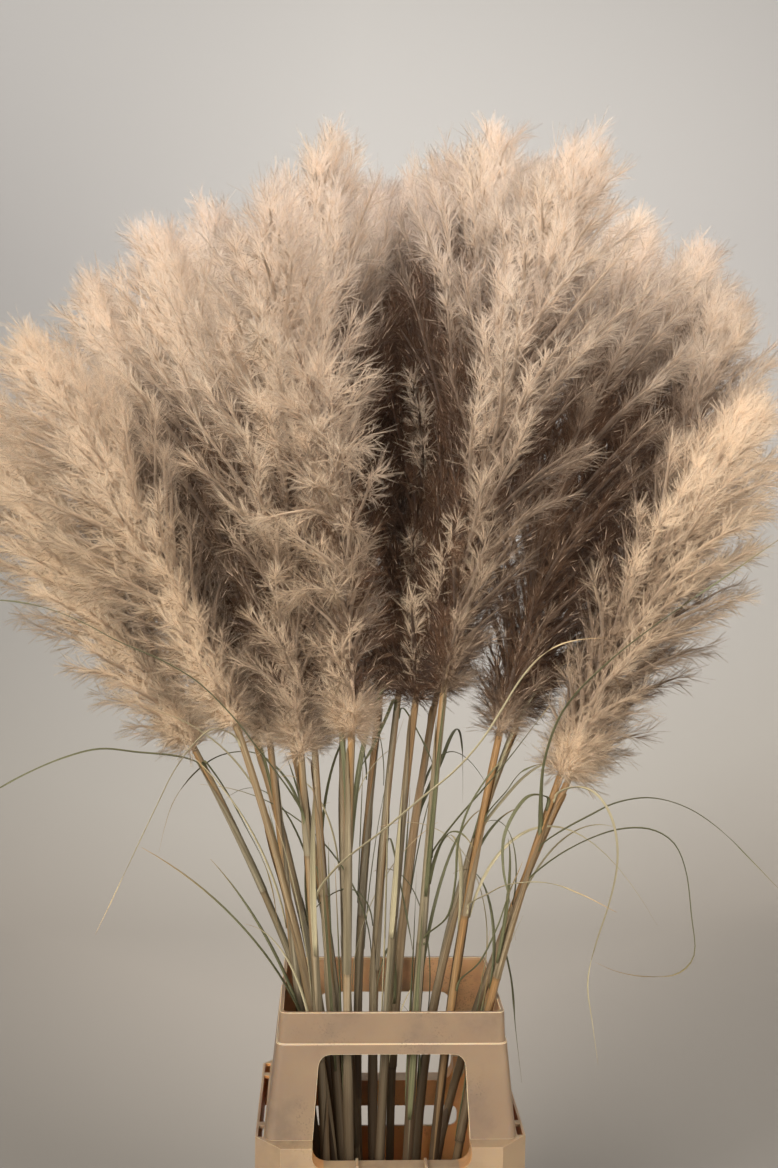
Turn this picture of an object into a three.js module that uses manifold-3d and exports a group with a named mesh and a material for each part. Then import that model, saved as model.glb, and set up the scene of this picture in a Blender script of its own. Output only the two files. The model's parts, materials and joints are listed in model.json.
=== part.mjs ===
import * as THREE from "three";
import { mergeVertices } from "three/addons/utils/BufferGeometryUtils.js";
import Module from "manifold-3d";

// Cut pampas grass: eighteen plumes on their culms, with a few long leaf blades, standing in a
// plastic flower bucket that carries a tall collar with an open window front and back.
// Millimetres, +Z up, front towards -Y, origin at the middle of the bucket's underside.

const wasm = await Module();
wasm.setup();

// ---------------------------------------------------------------------------------------------
// Driving dimensions

const GAP = 0.3; // left between pieces that touch
const WALL = 3; // plastic wall
const PAST = 1; // how far a cutter runs past what it cuts
const SINK = 0.01; // how far a cutter runs into the one before it
const CORNER_STEPS = 5; // facets of a rounded upright edge
const WINDOW_STEPS = 6; // facets of a window's corner

const TUB = {
  base: [104, 80], // half width and half depth at the underside
  mouth: [124.5, 96.5],
  height: 280,
  corner: 12,
  floor: 4,
};

const FLANGE = {
  half: [135, 113],
  chamfer: 26,
  ledge: 3.5, // thickness of the flat top
  skirt: 48, // how far the skirt hangs down
  wall: 2.5,
  cheek: 3.5, // lining of the notch
  pocketWidth: 5.5,
  pockets: [
    [-87, -63],
    [-55, 55],
    [63, 87],
  ], // slots through the side ledges, from and to along Y
  ribs: [-34, 34], // small ribs on the shelf of the notch
  ribWidth: 2.4,
  ribHeight: 5,
};

const COLLAR = {
  foot: [125, 97],
  rim: [112.5, 82.5],
  height: 124,
  corner: 10,
  band: 31, // height of the upper band
  bandStep: 1.8, // how far the wall steps out under the band
  spigot: 14, // how deep the foot reaches into the tub
  footRing: 6, // height of the thick ring that stands on the tub
  lip: 2.2, // height of the bead round the rim
  lipWidth: 0.8, // how far the bead reaches inwards
};

// The window through the collar runs on into a notch in the front and back of the flange.
const WINDOW = { topHalf: 72.5, bottomHalf: 79.5, drop: 41, bottom: 257.5, corner: 13, notchCorner: 18 };
// The hand slot lies under the flange, in the tub's front and back walls.
const HAND_SLOT = { halfWidth: 84, from: 206, to: 229, corner: 9 };

const RIM_Z = TUB.height + COLLAR.height;

const CULM = { footRadius: 5.2, neckRadius: 3.7, sides: 6, steps: 6 };

const BLADE = {
  thickness: 1.3,
  base: 12, // length that lies close along the culm before the blade leaves it
  baseLean: 2.5, // how far it has moved out from the culm by then
  rootWidth: 0.55, // as a share of the full width
  tipWidth: 1,
  step: 32, // length of one straight stretch
  fewestSteps: 5,
  clear: 2.6, // kept free round a blade's middle line by the plumes
};

const PLUME = {
  bow: 0.45, // how far the axis follows its culm before it leans over
  tails: 22,
  firstTail: 0.045, // along the axis, as a share of its length
  lastTail: 0.88,
  tailLength: 0.33, // of the axis length, for the lowest tail
  topTail: 0.5, // the highest tail's length as a share of the lowest one's
  lengthSpread: 0.12, // how much longer or shorter a tail may come out
  turnSpread: 0.5, // radians, how far a tail may turn from its place in the spiral
  tailRadius: 0.1, // at a tail's middle, as a share of its own length
  tailRoot: 0.03, // the same at its root
  spread: [34, 15], // degrees between tail and axis, lowest and highest
  middleLean: 4, // degrees more at a tail's middle
  tipLean: -6, // and at its tip
  hang: 26, // degrees more for a tail under a leaning axis
  sag: 0.1, // of the tail's length, at its tip
  coreRadius: 30,
  coreTip: 1.5,
  coreSides: 6,
  coreSteps: 6,
  clear: 1.5, // kept free between two plumes
  tipRoom: 2.5, // free round a tail's tip
};

const COLOURS = {
  bucket: 0xc9ab86,
  collar: 0xd8bc98,
  culm: 0x9a8c66,
  blade: 0x8f8a63,
  dryBlade: 0xc9b083,
  plume: 0xd2b79b,
};

// Each stalk: where its culm stands on the floor, where it passes the rim, the neck where the
// plume begins, and the plume's tip.
const STALKS = [
  { foot: [10, 72], rim: [-103, 66], neck: [-210, 55, 640], tip: [-500, 20, 1060] },
  { foot: [-45, -25], rim: [-84, -30], neck: [-160, -45, 685], tip: [-360, -130, 1070] },
  { foot: [-45, 8], rim: [-97, 4], neck: [-127, 0, 655], tip: [-250, -30, 1195] },
  { foot: [-35, 28], rim: [-80, 33], neck: [-148, 62, 662], tip: [-330, 70, 1160] },
  { foot: [-38, 48], rim: [-60, 60], neck: [-110, 105, 650], tip: [-210, 160, 1260] },
  { foot: [-55, -55], rim: [-75, -62], neck: [-94, -65, 658], tip: [-120, -220, 1195] },
  { foot: [-30, -8], rim: [-62, -18], neck: [-81, 0, 652], tip: [-75, -60, 1285] },
  { foot: [-30, -58], rim: [-45, -64], neck: [-45, -105, 685], tip: [-85, -265, 1040] },
  { foot: [-12, 22], rim: [-44, 26], neck: [-52, 45, 668], tip: [-20, 120, 1280] },
  { foot: [-15, 50], rim: [-30, 56], neck: [-10, 100, 692], tip: [35, 260, 1330] },
  { foot: [0, -8], rim: [-15, -2], neck: [6, 25, 700], tip: [65, 60, 1300] },
  { foot: [-8, -38], rim: [-3, -42], neck: [20, -45, 708], tip: [95, -70, 1290] },
  { foot: [15, 46], rim: [14, 60], neck: [54, 110, 692], tip: [180, 230, 1335] },
  { foot: [12, -62], rim: [25, -66], neck: [44, -95, 727], tip: [160, -190, 1250] },
  { foot: [38, -45], rim: [62, -50], neck: [105, -50, 677], tip: [250, -5, 1220] },
  { foot: [42, 32], rim: [58, 38], neck: [141, 60, 678], tip: [372, 170, 1232] },
  { foot: [52, -20], rim: [103, -46], neck: [168, -50, 636], tip: [380, -120, 1030] },
  { foot: [28, 8], rim: [103, 2], neck: [188, 20, 614], tip: [400, 60, 1160] },
];

// Each leaf blade: the stalk that it grows on, the height it leaves it at, its width, and the
// points that it passes on its way to its tip.
const BLADES = [
  { name: "left_sweep", stalk: 1, from: 622, width: 5, path: [
    [-257, 45, 637], [-307, 25, 646], [-355, 5, 635], [-401, -15, 614], [-443, -30, 592]] },
  { name: "left_hook", stalk: 2, from: 664, width: 4.5, dry: true, path: [
    [-183, -70, 684], [-211, -76, 655], [-232, -78, 615], [-268, -82, 537], [-293, -86, 484]] },
  { name: "left_hang", stalk: 1, from: 618, width: 4, path: [
    [-180, 38, 606], [-149, 24, 555], [-127, 19, 510], [-118, 17, 455]] },
  { name: "left_rise", stalk: 6, from: 590, width: 5, path: [
    [-112, -98, 640], [-135, -120, 675], [-160, -140, 712], [-200, -152, 751],
    [-262, -142, 778], [-325, -110, 803], [-392, -90, 812], [-440, -80, 800]] },
  { name: "right_arch", stalk: 17, from: 560, width: 5, path: [
    [185, -66, 592], [220, -62, 610], [263, -66, 617], [307, -74, 602], [346, -82, 569],
    [385, -90, 530]] },
  { name: "right_kink", stalk: 17, from: 525, width: 4.5, path: [
    [180, -80, 572], [215, -88, 589], [248, -94, 593], [274, -96, 579], [288, -97, 546],
    [294, -97, 496], [295, -96, 455], [261, -92, 444], [227, -87, 446], [202, -83, 455]] },
  { name: "right_loop", stalk: 17, from: 610, width: 5, dry: true, path: [
    [185, -78, 630], [202, -88, 621], [214, -92, 596], [218, -95, 567], [214, -97, 533],
    [201, -97, 487], [192, -95, 446], [198, -92, 400], [206, -90, 352]] },
  { name: "amber_tip", stalk: 15, from: 495, width: 4, dry: true, path: [
    [92, -82, 523], [112, -92, 536], [148, -99, 540], [182, -103, 530], [217, -106, 513]] },
  { name: "right_long", stalk: 17, from: 575, width: 5.5, path: [
    [146, -84, 650], [158, -112, 710], [188, -152, 760], [228, -185, 803], [279, -205, 845],
    [345, -215, 895]] },
  { name: "cross_long", stalk: 6, from: 500, width: 5.5, dry: true, path: [
    [-62, -92, 548], [-18, -128, 595], [28, -132, 636], [66, -130, 669], [94, -136, 713],
    [112, -146, 747], [134, -158, 775], [156, -166, 786], [186, -172, 790]] },
  { name: "centre_fork", stalk: 14, from: 560, width: 6, path: [
    [72, -95, 616], [101, -95, 651], [130, -94, 690], [148, -98, 716]] },
  { name: "right_thin", stalk: 15, from: 590, width: 3.5, path: [
    [112, -66, 624], [122, -72, 641], [134, -77, 651], [150, -81, 656]] },
  { name: "right_hang", stalk: 17, from: 600, width: 4.5, path: [
    [138, -70, 622], [114, -84, 602], [106, -92, 573], [107, -97, 545], [113, -103, 515],
    [118, -106, 485]] },
  { name: "low_right", stalk: 15, from: 415, width: 5, path: [
    [82, -68, 440], [98, -72, 471], [109, -75, 500], [117, -78, 530], [127, -80, 556]] },
  { name: "centre_bow", stalk: 14, from: 470, width: 5, path: [
    [58, -100, 515], [58, -112, 562], [63, -118, 603], [78, -120, 637], [98, -118, 665],
    [118, -116, 690]] },
  { name: "centre_drop", stalk: 11, from: 690, width: 4.5, path: [
    [-15, 0, 664], [-30, -18, 645], [-42, -28, 618]] },
  { name: "centre_short", stalk: 11, from: 682, width: 4, path: [
    [24, 14, 672], [38, 6, 650], [46, 2, 625]] },
  { name: "centre_low", stalk: 11, from: 545, width: 4, path: [
    [9, -2, 512], [18, -12, 475], [24, -16, 442]] },
  { name: "rim_drape", stalk: 18, from: 430, width: 4, path: [
    [127, 14, 428], [134, 18, 395], [138, 22, 350], [147, 22, 285]] },
  { name: "back_arch", stalk: 13, from: 560, width: 5, path: [
    [60, 130, 610], [80, 180, 640], [95, 240, 630], [105, 300, 580], [110, 335, 520]] },
  { name: "back_left", stalk: 5, from: 540, width: 5, path: [
    [-110, 130, 590], [-150, 175, 615], [-205, 215, 600], [-255, 250, 540], [-275, 270, 470]] },
  { name: "back_right", stalk: 16, from: 550, width: 4.5, dry: true, path: [
    [135, 85, 590], [175, 125, 612], [220, 170, 600], [255, 205, 555]] },
];

// ---------------------------------------------------------------------------------------------
// Solids

function solidOf(geometry) {
  const bare = geometry.index ? geometry.toNonIndexed() : geometry.clone();
  bare.deleteAttribute("normal");
  bare.deleteAttribute("uv");
  const merged = mergeVertices(bare, 1e-3);
  return new wasm.Manifold(
    new wasm.Mesh({
      numProp: 3,
      vertProperties: merged.attributes.position.array,
      triVerts: new Uint32Array(merged.index.array),
    }),
  );
}

function geometryOf(solid) {
  const mesh = solid.getMesh();
  const geometry = new THREE.BufferGeometry();
  geometry.setAttribute("position", new THREE.BufferAttribute(mesh.vertProperties, 3));
  geometry.setIndex(new THREE.BufferAttribute(mesh.triVerts, 1));
  geometry.computeVertexNormals();
  return geometry;
}

// A closed outline through corners [x, y, radius], each rounded off.
function roundedOutline(corners) {
  const shape = new THREE.Shape();
  corners.forEach(([x, y, radius], i) => {
    const corner = new THREE.Vector2(x, y);
    const stepTo = ([nextX, nextY]) => {
      const way = new THREE.Vector2(nextX - x, nextY - y).setLength(radius);
      return way.add(corner);
    };
    const before = stepTo(corners.at(i - 1));
    const after = stepTo(corners[(i + 1) % corners.length]);
    if (i === 0) shape.moveTo(before.x, before.y);
    else shape.lineTo(before.x, before.y);
    shape.quadraticCurveTo(x, y, after.x, after.y);
  });
  return shape;
}

function boxOutline([halfWidth, halfDepth], radius) {
  return roundedOutline([
    [halfWidth, -halfDepth, radius],
    [halfWidth, halfDepth, radius],
    [-halfWidth, halfDepth, radius],
    [-halfWidth, -halfDepth, radius],
  ]);
}

// A block from z0 to z1 whose half sizes change from `low` to `high` and whose upright edges are
// rounded, or chamfered where cornerSteps is 1.
function taperedBlock(low, high, z0, z1, corner, cornerSteps = CORNER_STEPS) {
  const geometry = new THREE.ExtrudeGeometry(boxOutline(low, corner), {
    depth: z1 - z0,
    bevelEnabled: false,
    curveSegments: cornerSteps,
  });
  const position = geometry.attributes.position;
  for (let i = 0; i < position.count; i++) {
    if (position.getZ(i) === 0) continue;
    position.setX(i, position.getX(i) + Math.sign(position.getX(i)) * (high[0] - low[0]));
    position.setY(i, position.getY(i) + Math.sign(position.getY(i)) * (high[1] - low[1]));
  }
  return solidOf(geometry.translate(0, 0, z0));
}

function block(from, to) {
  const size = to.map((end, axis) => end - from[axis]);
  const middle = to.map((end, axis) => (end + from[axis]) / 2);
  return solidOf(new THREE.BoxGeometry(...size).translate(...middle));
}

const inset = (half, by) => half.map((size) => size - by);
const mix = (a, b, share) => a.map((value, i) => value + (b[i] - value) * share);
const cutAll = (solid, cutters) => cutters.reduce((left, cutter) => left.subtract(cutter), solid);
const joinAll = (solids) => solids.reduce((whole, solid) => whole.add(solid));

// The largest of the shells that a join leaves: a hollow sealed between tails is filled, and a
// loose scrap dropped.
function outerBody(solid) {
  return solid.decompose().reduce((a, b) => (b.volume() > a.volume() ? b : a));
}

// An outline in X and Z, pushed along Y from y0 to y1.
function pushedThrough(shape, y0, y1) {
  const geometry = new THREE.ExtrudeGeometry(shape, {
    depth: y1 - y0,
    bevelEnabled: false,
    curveSegments: WINDOW_STEPS,
  });
  return solidOf(geometry.rotateX(Math.PI / 2).translate(0, y1, 0));
}

// ---------------------------------------------------------------------------------------------
// Holder

const tubHalf = (z) => mix(TUB.base, TUB.mouth, z / TUB.height);
const collarHalf = (z) => mix(COLLAR.foot, COLLAR.rim, (z - TUB.height) / COLLAR.height);

// The window's outline, from below the flange's notch up to the collar's band.
function windowOutline(margin, bottom) {
  const top = RIM_Z - WINDOW.drop;
  const slope = (WINDOW.bottomHalf - WINDOW.topHalf) / (top - WINDOW.bottom);
  const bottomHalf = WINDOW.topHalf + slope * (top - bottom) + margin;
  return roundedOutline([
    [bottomHalf, bottom, WINDOW.notchCorner],
    [WINDOW.topHalf + margin, top, WINDOW.corner],
    [-WINDOW.topHalf - margin, top, WINDOW.corner],
    [-bottomHalf, bottom, WINDOW.notchCorner],
  ]);
}

function flangeSolid() {
  const { half, chamfer, ledge, skirt, wall, cheek } = FLANGE;
  const top = TUB.height;
  const bottom = top - skirt;
  const outer = taperedBlock(half, half, bottom, top, chamfer, 1);
  const hollowHalf = inset(half, wall);
  const hollowChamfer = chamfer - wall * (2 - Math.SQRT2);
  const hollow = taperedBlock(hollowHalf, hollowHalf, bottom - PAST, top - ledge, hollowChamfer, 1);
  // The notch is lined all round, so it has a shelf and two cheeks between tub and skirt.
  const lining = pushedThrough(windowOutline(cheek, WINDOW.bottom - WALL), -half[1], half[1]);
  const within = block([-half[0], -half[1], bottom], [half[0], half[1], top]);
  return outer.subtract(hollow).add(lining.intersect(within));
}

// The slots through the flange's side ledges.
function pocketCutters() {
  const { half, wall, ledge, pocketWidth, pockets } = FLANGE;
  const outside = half[0] - wall;
  const [low, high] = [TUB.height - ledge - PAST, TUB.height + PAST];
  return pockets.flatMap(([y0, y1]) => [
    block([outside - pocketWidth, y0, low], [outside, y1, high]),
    block([-outside, y0, low], [pocketWidth - outside, y1, high]),
  ]);
}

// The small ribs that stand on the shelf of each notch.
function shelfRibs() {
  const { half, ribs, ribWidth, ribHeight } = FLANGE;
  const [near, far] = [TUB.mouth[1] - PAST, half[1] - PAST];
  const [low, high] = [WINDOW.bottom - PAST, WINDOW.bottom - PAST + ribHeight];
  return ribs.flatMap((x) => [
    block([x - ribWidth / 2, near, low], [x + ribWidth / 2, far, high]),
    block([x - ribWidth / 2, -far, low], [x + ribWidth / 2, -near, high]),
  ]);
}

function bucketSolid() {
  const { base, mouth, height, corner, floor } = TUB;
  const { halfWidth, from, to } = HAND_SLOT;
  const tub = taperedBlock(base, mouth, 0, height, corner);
  const hollow = taperedBlock(
    inset(tubHalf(floor), WALL),
    inset(tubHalf(height + PAST), WALL),
    floor,
    height + PAST,
    corner - WALL,
  );
  const reach = FLANGE.half[1] + PAST;
  const notch = pushedThrough(windowOutline(0, WINDOW.bottom), -reach, reach);
  const slotOutline = roundedOutline([
    [halfWidth, from, HAND_SLOT.corner],
    [halfWidth, to, HAND_SLOT.corner],
    [-halfWidth, to, HAND_SLOT.corner],
    [-halfWidth, from, HAND_SLOT.corner],
  ]);
  const handSlots = pushedThrough(slotOutline, -reach, reach);
  const whole = cutAll(tub.add(flangeSolid()), [hollow, notch, handSlots, ...pocketCutters()]);
  return joinAll([whole, ...shelfRibs()]);
}

// The collar's outside: a tapering wall that steps out at the band.
function collarOutside(foot) {
  const { corner, band, bandStep } = COLLAR;
  const bandFoot = RIM_Z - band;
  const stepFoot = bandFoot - bandStep;
  const wall = taperedBlock(collarHalf(foot), collarHalf(bandFoot), foot, bandFoot, corner);
  const bandLow = inset(collarHalf(stepFoot), bandStep);
  return wall.add(taperedBlock(bandLow, collarHalf(RIM_Z), stepFoot, RIM_Z, corner - bandStep));
}

function collarSolid() {
  const { bandStep, spigot, footRing, lip, lipWidth, corner } = COLLAR;
  const foot = TUB.height + GAP;
  const spigotFoot = foot - spigot;
  const ringTop = foot + footRing;
  const lipFoot = RIM_Z - lip;
  const spigotLow = inset(tubHalf(spigotFoot), WALL + GAP);
  const spigotHigh = inset(tubHalf(foot + PAST), WALL + GAP);
  const spigotBlock = taperedBlock(spigotLow, spigotHigh, spigotFoot, foot + PAST, TUB.corner - WALL);
  const narrow = inset(spigotLow, WALL);
  const mouth = inset(collarHalf(RIM_Z), WALL + lipWidth);
  const inner = corner - WALL;
  const hollows = [
    taperedBlock(narrow, narrow, spigotFoot - PAST, ringTop, inner),
    taperedBlock(
      inset(collarHalf(ringTop), WALL + bandStep),
      inset(collarHalf(lipFoot), WALL),
      ringTop - SINK,
      lipFoot,
      inner,
    ),
    taperedBlock(mouth, mouth, lipFoot - SINK, RIM_Z + PAST, inner),
  ];
  const reach = COLLAR.foot[1] + PAST;
  const windowLow = spigotFoot - WINDOW.notchCorner - PAST;
  const windowCut = pushedThrough(windowOutline(0, windowLow), -reach, reach);
  return cutAll(collarOutside(foot).add(spigotBlock), [...hollows, windowCut]);
}

// ---------------------------------------------------------------------------------------------
// Growing things

const vector = (point) => new THREE.Vector3(...point);
const UP = new THREE.Vector3(0, 0, 1);
const X_AXIS = new THREE.Vector3(1, 0, 0);
const alongX = () => X_AXIS;
const GOLDEN_ANGLE = Math.PI * (3 - Math.sqrt(5));

function perpendicular(direction, axis) {
  return direction.clone().addScaledVector(axis, -direction.dot(axis)).normalize();
}

function randomFrom(seed) {
  let state = seed;
  return () => {
    state = (state + 0x6d2b79f5) | 0;
    let value = Math.imul(state ^ (state >>> 15), 1 | state);
    value = (value + Math.imul(value ^ (value >>> 7), 61 | value)) ^ value;
    return ((value ^ (value >>> 14)) >>> 0) / 4294967296;
  };
}

// Lays a geometry that stands on Y, from 0 to 1, along a curve. Its X runs along the side that
// sideAt gives, and its size at each point is given by sizeAt, as [along the side, across it].
function laidAlong(geometry, curve, sideAt, sizeAt) {
  const position = geometry.attributes.position;
  for (let i = 0; i < position.count; i++) {
    const t = THREE.MathUtils.clamp(position.getY(i), 0, 1);
    const tangent = curve.getTangent(t);
    const across = perpendicular(sideAt(t), tangent);
    const face = new THREE.Vector3().crossVectors(across, tangent);
    const [wide, deep] = sizeAt(t);
    const point = curve.getPoint(t);
    point.addScaledVector(across, position.getX(i) * wide);
    point.addScaledVector(face, position.getZ(i) * deep);
    position.setXYZ(i, point.x, point.y, point.z);
  }
  return geometry;
}

// A culm bends once, so that it passes its rim point on the way from its foot to its neck.
function culmCurve({ foot, rim, neck }) {
  const low = vector([...foot, TUB.floor + GAP]);
  const high = vector(neck);
  const share = (RIM_Z - low.z) / (high.z - low.z);
  const through = vector([...rim, RIM_Z]);
  const pull = through
    .addScaledVector(low, -((1 - share) ** 2))
    .addScaledVector(high, -(share ** 2))
    .divideScalar(2 * share * (1 - share));
  return new THREE.QuadraticBezierCurve3(low, pull, high);
}

// The plume's axis carries the culm's line on, and leans over towards its tip.
function plumeCurve(stalk) {
  const along = culmCurve(stalk).getTangent(1);
  const start = vector(stalk.neck).addScaledVector(along, GAP);
  const tip = vector(stalk.tip);
  const length = tip.distanceTo(start);
  const straight = tip.clone().sub(start).normalize();
  const lead = along.clone().add(straight).normalize();
  const bend = start.clone().addScaledVector(lead, length * PLUME.bow);
  const leaving = start.clone().addScaledVector(along, (length * PLUME.bow * 2) / 3);
  return new THREE.CubicBezierCurve3(start, leaving, tip.clone().lerp(bend, 2 / 3), tip);
}

// How full a growing thing is along its length: nothing at both ends, most at a third.
const fullness = (t) => Math.sin(Math.PI * t ** 0.6);

const culmRadius = (share) => THREE.MathUtils.lerp(CULM.footRadius, CULM.neckRadius, share);

function culmGeometry(stalk) {
  const curve = culmCurve(stalk);
  const tube = new THREE.CylinderGeometry(1, 1, 1, CULM.sides, CULM.steps).translate(0, 0.5, 0);
  laidAlong(tube, curve, alongX, (t) => [culmRadius(t), culmRadius(t)]);
  // The foot is cut level, so that it stands flat on the floor of the bucket.
  const position = tube.attributes.position;
  const level = TUB.floor + GAP;
  const footHeight = curve.v0.z + CULM.footRadius;
  for (let i = 0; i < position.count; i++) {
    if (position.getZ(i) < footHeight) position.setZ(i, level);
  }
  return tube;
}

// How far a culm's surface lies from its middle towards `outward`: its section has flat sides, one
// of them across the X axis.
function culmReach(radius, tangent, outward) {
  const across = perpendicular(X_AXIS, tangent);
  const face = new THREE.Vector3().crossVectors(across, tangent);
  const side = (2 * Math.PI) / CULM.sides;
  const angle = Math.atan2(outward.dot(face), outward.dot(across));
  const offFlat = angle - Math.round(angle / side) * side;
  return (radius * Math.cos(side / 2)) / Math.cos(offFlat);
}

// Where a leaf blade grows: beside the straight stretch of its culm that passes its height.
function bladeRoot({ stalk, from, path }) {
  const track = culmCurve(STALKS[stalk - 1]).getPoints(CULM.steps);
  const above = track.findIndex((point) => point.z > from);
  const [low, high] = [track[above - 1], track[above]];
  const share = (from - low.z) / (high.z - low.z);
  const radius = culmRadius((above - 1 + share) / CULM.steps);
  const tangent = high.clone().sub(low).normalize();
  const point = low.clone().lerp(high, share);
  const outward = perpendicular(vector(path[0]).sub(point), tangent);
  const reach = culmReach(radius, tangent, outward) + GAP + BLADE.thickness / 2;
  return { point: point.addScaledVector(outward, reach), tangent, outward };
}

// A leaf blade lies along its culm with its base, then follows its points.
function bladeCurve(blade) {
  const { point, tangent, outward } = bladeRoot(blade);
  const leaving = point.clone().addScaledVector(tangent, BLADE.base);
  leaving.addScaledVector(outward, BLADE.baseLean);
  return new THREE.CatmullRomCurve3(
    [point, leaving, ...blade.path.map(vector)],
    false,
    "centripetal",
  );
}

// A blade is a flat diamond in section, widest at a third of its length. It turns from the side
// that it has at its root to lie level.
function bladeGeometry(blade) {
  const curve = bladeCurve(blade);
  const { tangent, outward } = bladeRoot(blade);
  const rootSide = new THREE.Vector3().crossVectors(tangent, outward);
  const chord = curve.getPoint(1).sub(curve.getPoint(0)).setZ(0);
  const level = new THREE.Vector3().crossVectors(UP, chord).normalize();
  if (level.dot(rootSide) < 0) level.negate();
  const sideAt = (t) => rootSide.clone().lerp(level, THREE.MathUtils.smoothstep(t, 0, 0.3));
  const steps = Math.max(BLADE.fewestSteps, Math.round(curve.getLength() / BLADE.step));
  const strip = new THREE.CylinderGeometry(0.5, 0.5, 1, 4, steps).translate(0, 0.5, 0);
  const { rootWidth, tipWidth, thickness } = BLADE;
  return laidAlong(strip, curve, sideAt, (t) => {
    const share = rootWidth * (1 - t) + (1 - rootWidth) * fullness(t);
    return [Math.max(tipWidth, blade.width * share), thickness];
  });
}

// Points along every culm, axis and blade, which the tails keep clear of.
const STEPS_ALONG = 40;
const DRAW_STEP = 0.04; // share of the way home that a crowded point moves at a time
const culmTracks = STALKS.map((stalk) => culmCurve(stalk).getPoints(STEPS_ALONG));
const axisTracks = STALKS.map((stalk) => plumeCurve(stalk).getPoints(STEPS_ALONG));
const bladeTracks = BLADES.map((blade) => bladeCurve(blade).getPoints(STEPS_ALONG));

function nearestOn(track, point) {
  const best = new THREE.Vector3();
  const candidate = new THREE.Vector3();
  let least = Infinity;
  for (let i = 0; i + 1 < track.length; i++) {
    new THREE.Line3(track[i], track[i + 1]).closestPointToPoint(point, true, candidate);
    const distance = candidate.distanceTo(point);
    if (distance < least) {
      least = distance;
      best.copy(candidate);
    }
  }
  return { point: best, distance: least };
}

// How far a round thing at this point of plume `own` can reach before it leaves the plume's share
// of the space, which ends half way to the next axis and short of every culm and blade.
function roomAt(point, own) {
  const home = nearestOn(axisTracks[own], point).distance;
  let room = Infinity;
  axisTracks.forEach((track, i) => {
    if (i !== own) room = Math.min(room, (nearestOn(track, point).distance - home) / 2);
  });
  culmTracks.forEach((track, i) => {
    if (i === own) return;
    room = Math.min(room, nearestOn(track, point).distance - CULM.footRadius);
  });
  bladeTracks.forEach((track) => {
    room = Math.min(room, nearestOn(track, point).distance - BLADE.clear);
  });
  return room;
}

// Moves a point of plume `own` towards its axis until there is room round it.
function drawnIn(point, own, reach) {
  const home = nearestOn(axisTracks[own], point).point;
  for (let share = 1; share > 0; share -= DRAW_STEP) {
    const candidate = home.clone().lerp(point, share);
    if (roomAt(candidate, own) > reach) return candidate;
  }
  return home;
}

// The core follows the axis, as wide as its culm at the neck and fine at the tip.
function coreSolid(own) {
  const curve = plumeCurve(STALKS[own]);
  const { coreRadius, coreTip, coreSides, coreSteps, clear } = PLUME;
  const core = new THREE.CylinderGeometry(1, 1, 1, coreSides, coreSteps).translate(0, 0.5, 0);
  const radiusAt = (t) => {
    const least = THREE.MathUtils.lerp(CULM.neckRadius, coreTip, t);
    const full = least + coreRadius * fullness(t);
    return Math.max(least, Math.min(full, roomAt(curve.getPoint(t), own) - clear));
  };
  return solidOf(laidAlong(core, curve, alongX, (t) => [radiusAt(t), radiusAt(t)]));
}

// One tail of a plume: a three-sided spike that leaves the axis at a slant, fullest half way
// along, and sags towards its tip.
function tailSolid(own, index, random) {
  const curve = plumeCurve(STALKS[own]);
  const rise = index / (PLUME.tails - 1);
  const share = THREE.MathUtils.lerp(PLUME.firstTail, PLUME.lastTail, rise);
  const root = curve.getPoint(share);
  const tangent = curve.getTangent(share);
  const side = perpendicular(X_AXIS, tangent);
  const turn = index * GOLDEN_ANGLE + own + PLUME.turnSpread * random();
  const out = side.clone().applyAxisAngle(tangent, turn);
  const spread = 1 + PLUME.lengthSpread * (2 * random() - 1);
  const shrink = THREE.MathUtils.lerp(1, PLUME.topTail, rise);
  const length = curve.getLength() * PLUME.tailLength * shrink * spread;
  const under = Math.max(0, -out.z);
  const degrees = THREE.MathUtils.lerp(...PLUME.spread, rise) + PLUME.hang * under;
  const pointAt = (along, lean) => {
    const angle = THREE.MathUtils.degToRad(degrees + lean);
    return root
      .clone()
      .addScaledVector(tangent, length * along * Math.cos(angle))
      .addScaledVector(out, length * along * Math.sin(angle))
      .addScaledVector(UP, -length * PLUME.sag * along ** 2);
  };
  const radius = PLUME.tailRadius * length;
  const middle = drawnIn(pointAt(0.5, PLUME.middleLean), own, radius + PLUME.clear);
  const tip = drawnIn(pointAt(1, PLUME.tipLean), own, PLUME.tipRoom);
  const pull = middle.multiplyScalar(2).addScaledVector(root, -0.5).addScaledVector(tip, -0.5);
  const track = new THREE.QuadraticBezierCurve3(root, pull, tip);
  // The cone narrows by itself, to half its radius at its middle.
  const spike = new THREE.ConeGeometry(1, 1, 3, 2).translate(0, 0.5, 0);
  const scaleAt = (t) => (t > 0 ? 2 * radius : PLUME.tailRoot * length);
  return solidOf(laidAlong(spike, track, () => side, (t) => [scaleAt(t), scaleAt(t)]));
}

function plumeSolid(own) {
  const random = randomFrom(own + 1);
  const tails = Array.from({ length: PLUME.tails }, (_, index) => tailSolid(own, index, random));
  return outerBody(joinAll([coreSolid(own), ...tails]));
}

// ---------------------------------------------------------------------------------------------
// The part

const bunch = new THREE.Group();

function place(name, geometry, color, roughness) {
  const material = new THREE.MeshStandardMaterial({ color, roughness, metalness: 0 });
  const mesh = new THREE.Mesh(geometry, material);
  mesh.name = name;
  bunch.add(mesh);
}

const twoDigits = (number) => String(number).padStart(2, "0");

place("bucket", geometryOf(bucketSolid()), COLOURS.bucket, 0.55);
place("collar", geometryOf(collarSolid()), COLOURS.collar, 0.5);

STALKS.forEach((stalk, own) => {
  const number = twoDigits(own + 1);
  place(`culm_${number}`, culmGeometry(stalk), COLOURS.culm, 0.7);
  place(`plume_${number}`, geometryOf(plumeSolid(own)), COLOURS.plume, 0.95);
});

BLADES.forEach((blade) => {
  const colour = blade.dry ? COLOURS.dryBlade : COLOURS.blade;
  place(`leaf_${blade.name}`, bladeGeometry(blade), colour, 0.75);
});

export default bunch;
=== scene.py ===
import json
import math

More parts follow.
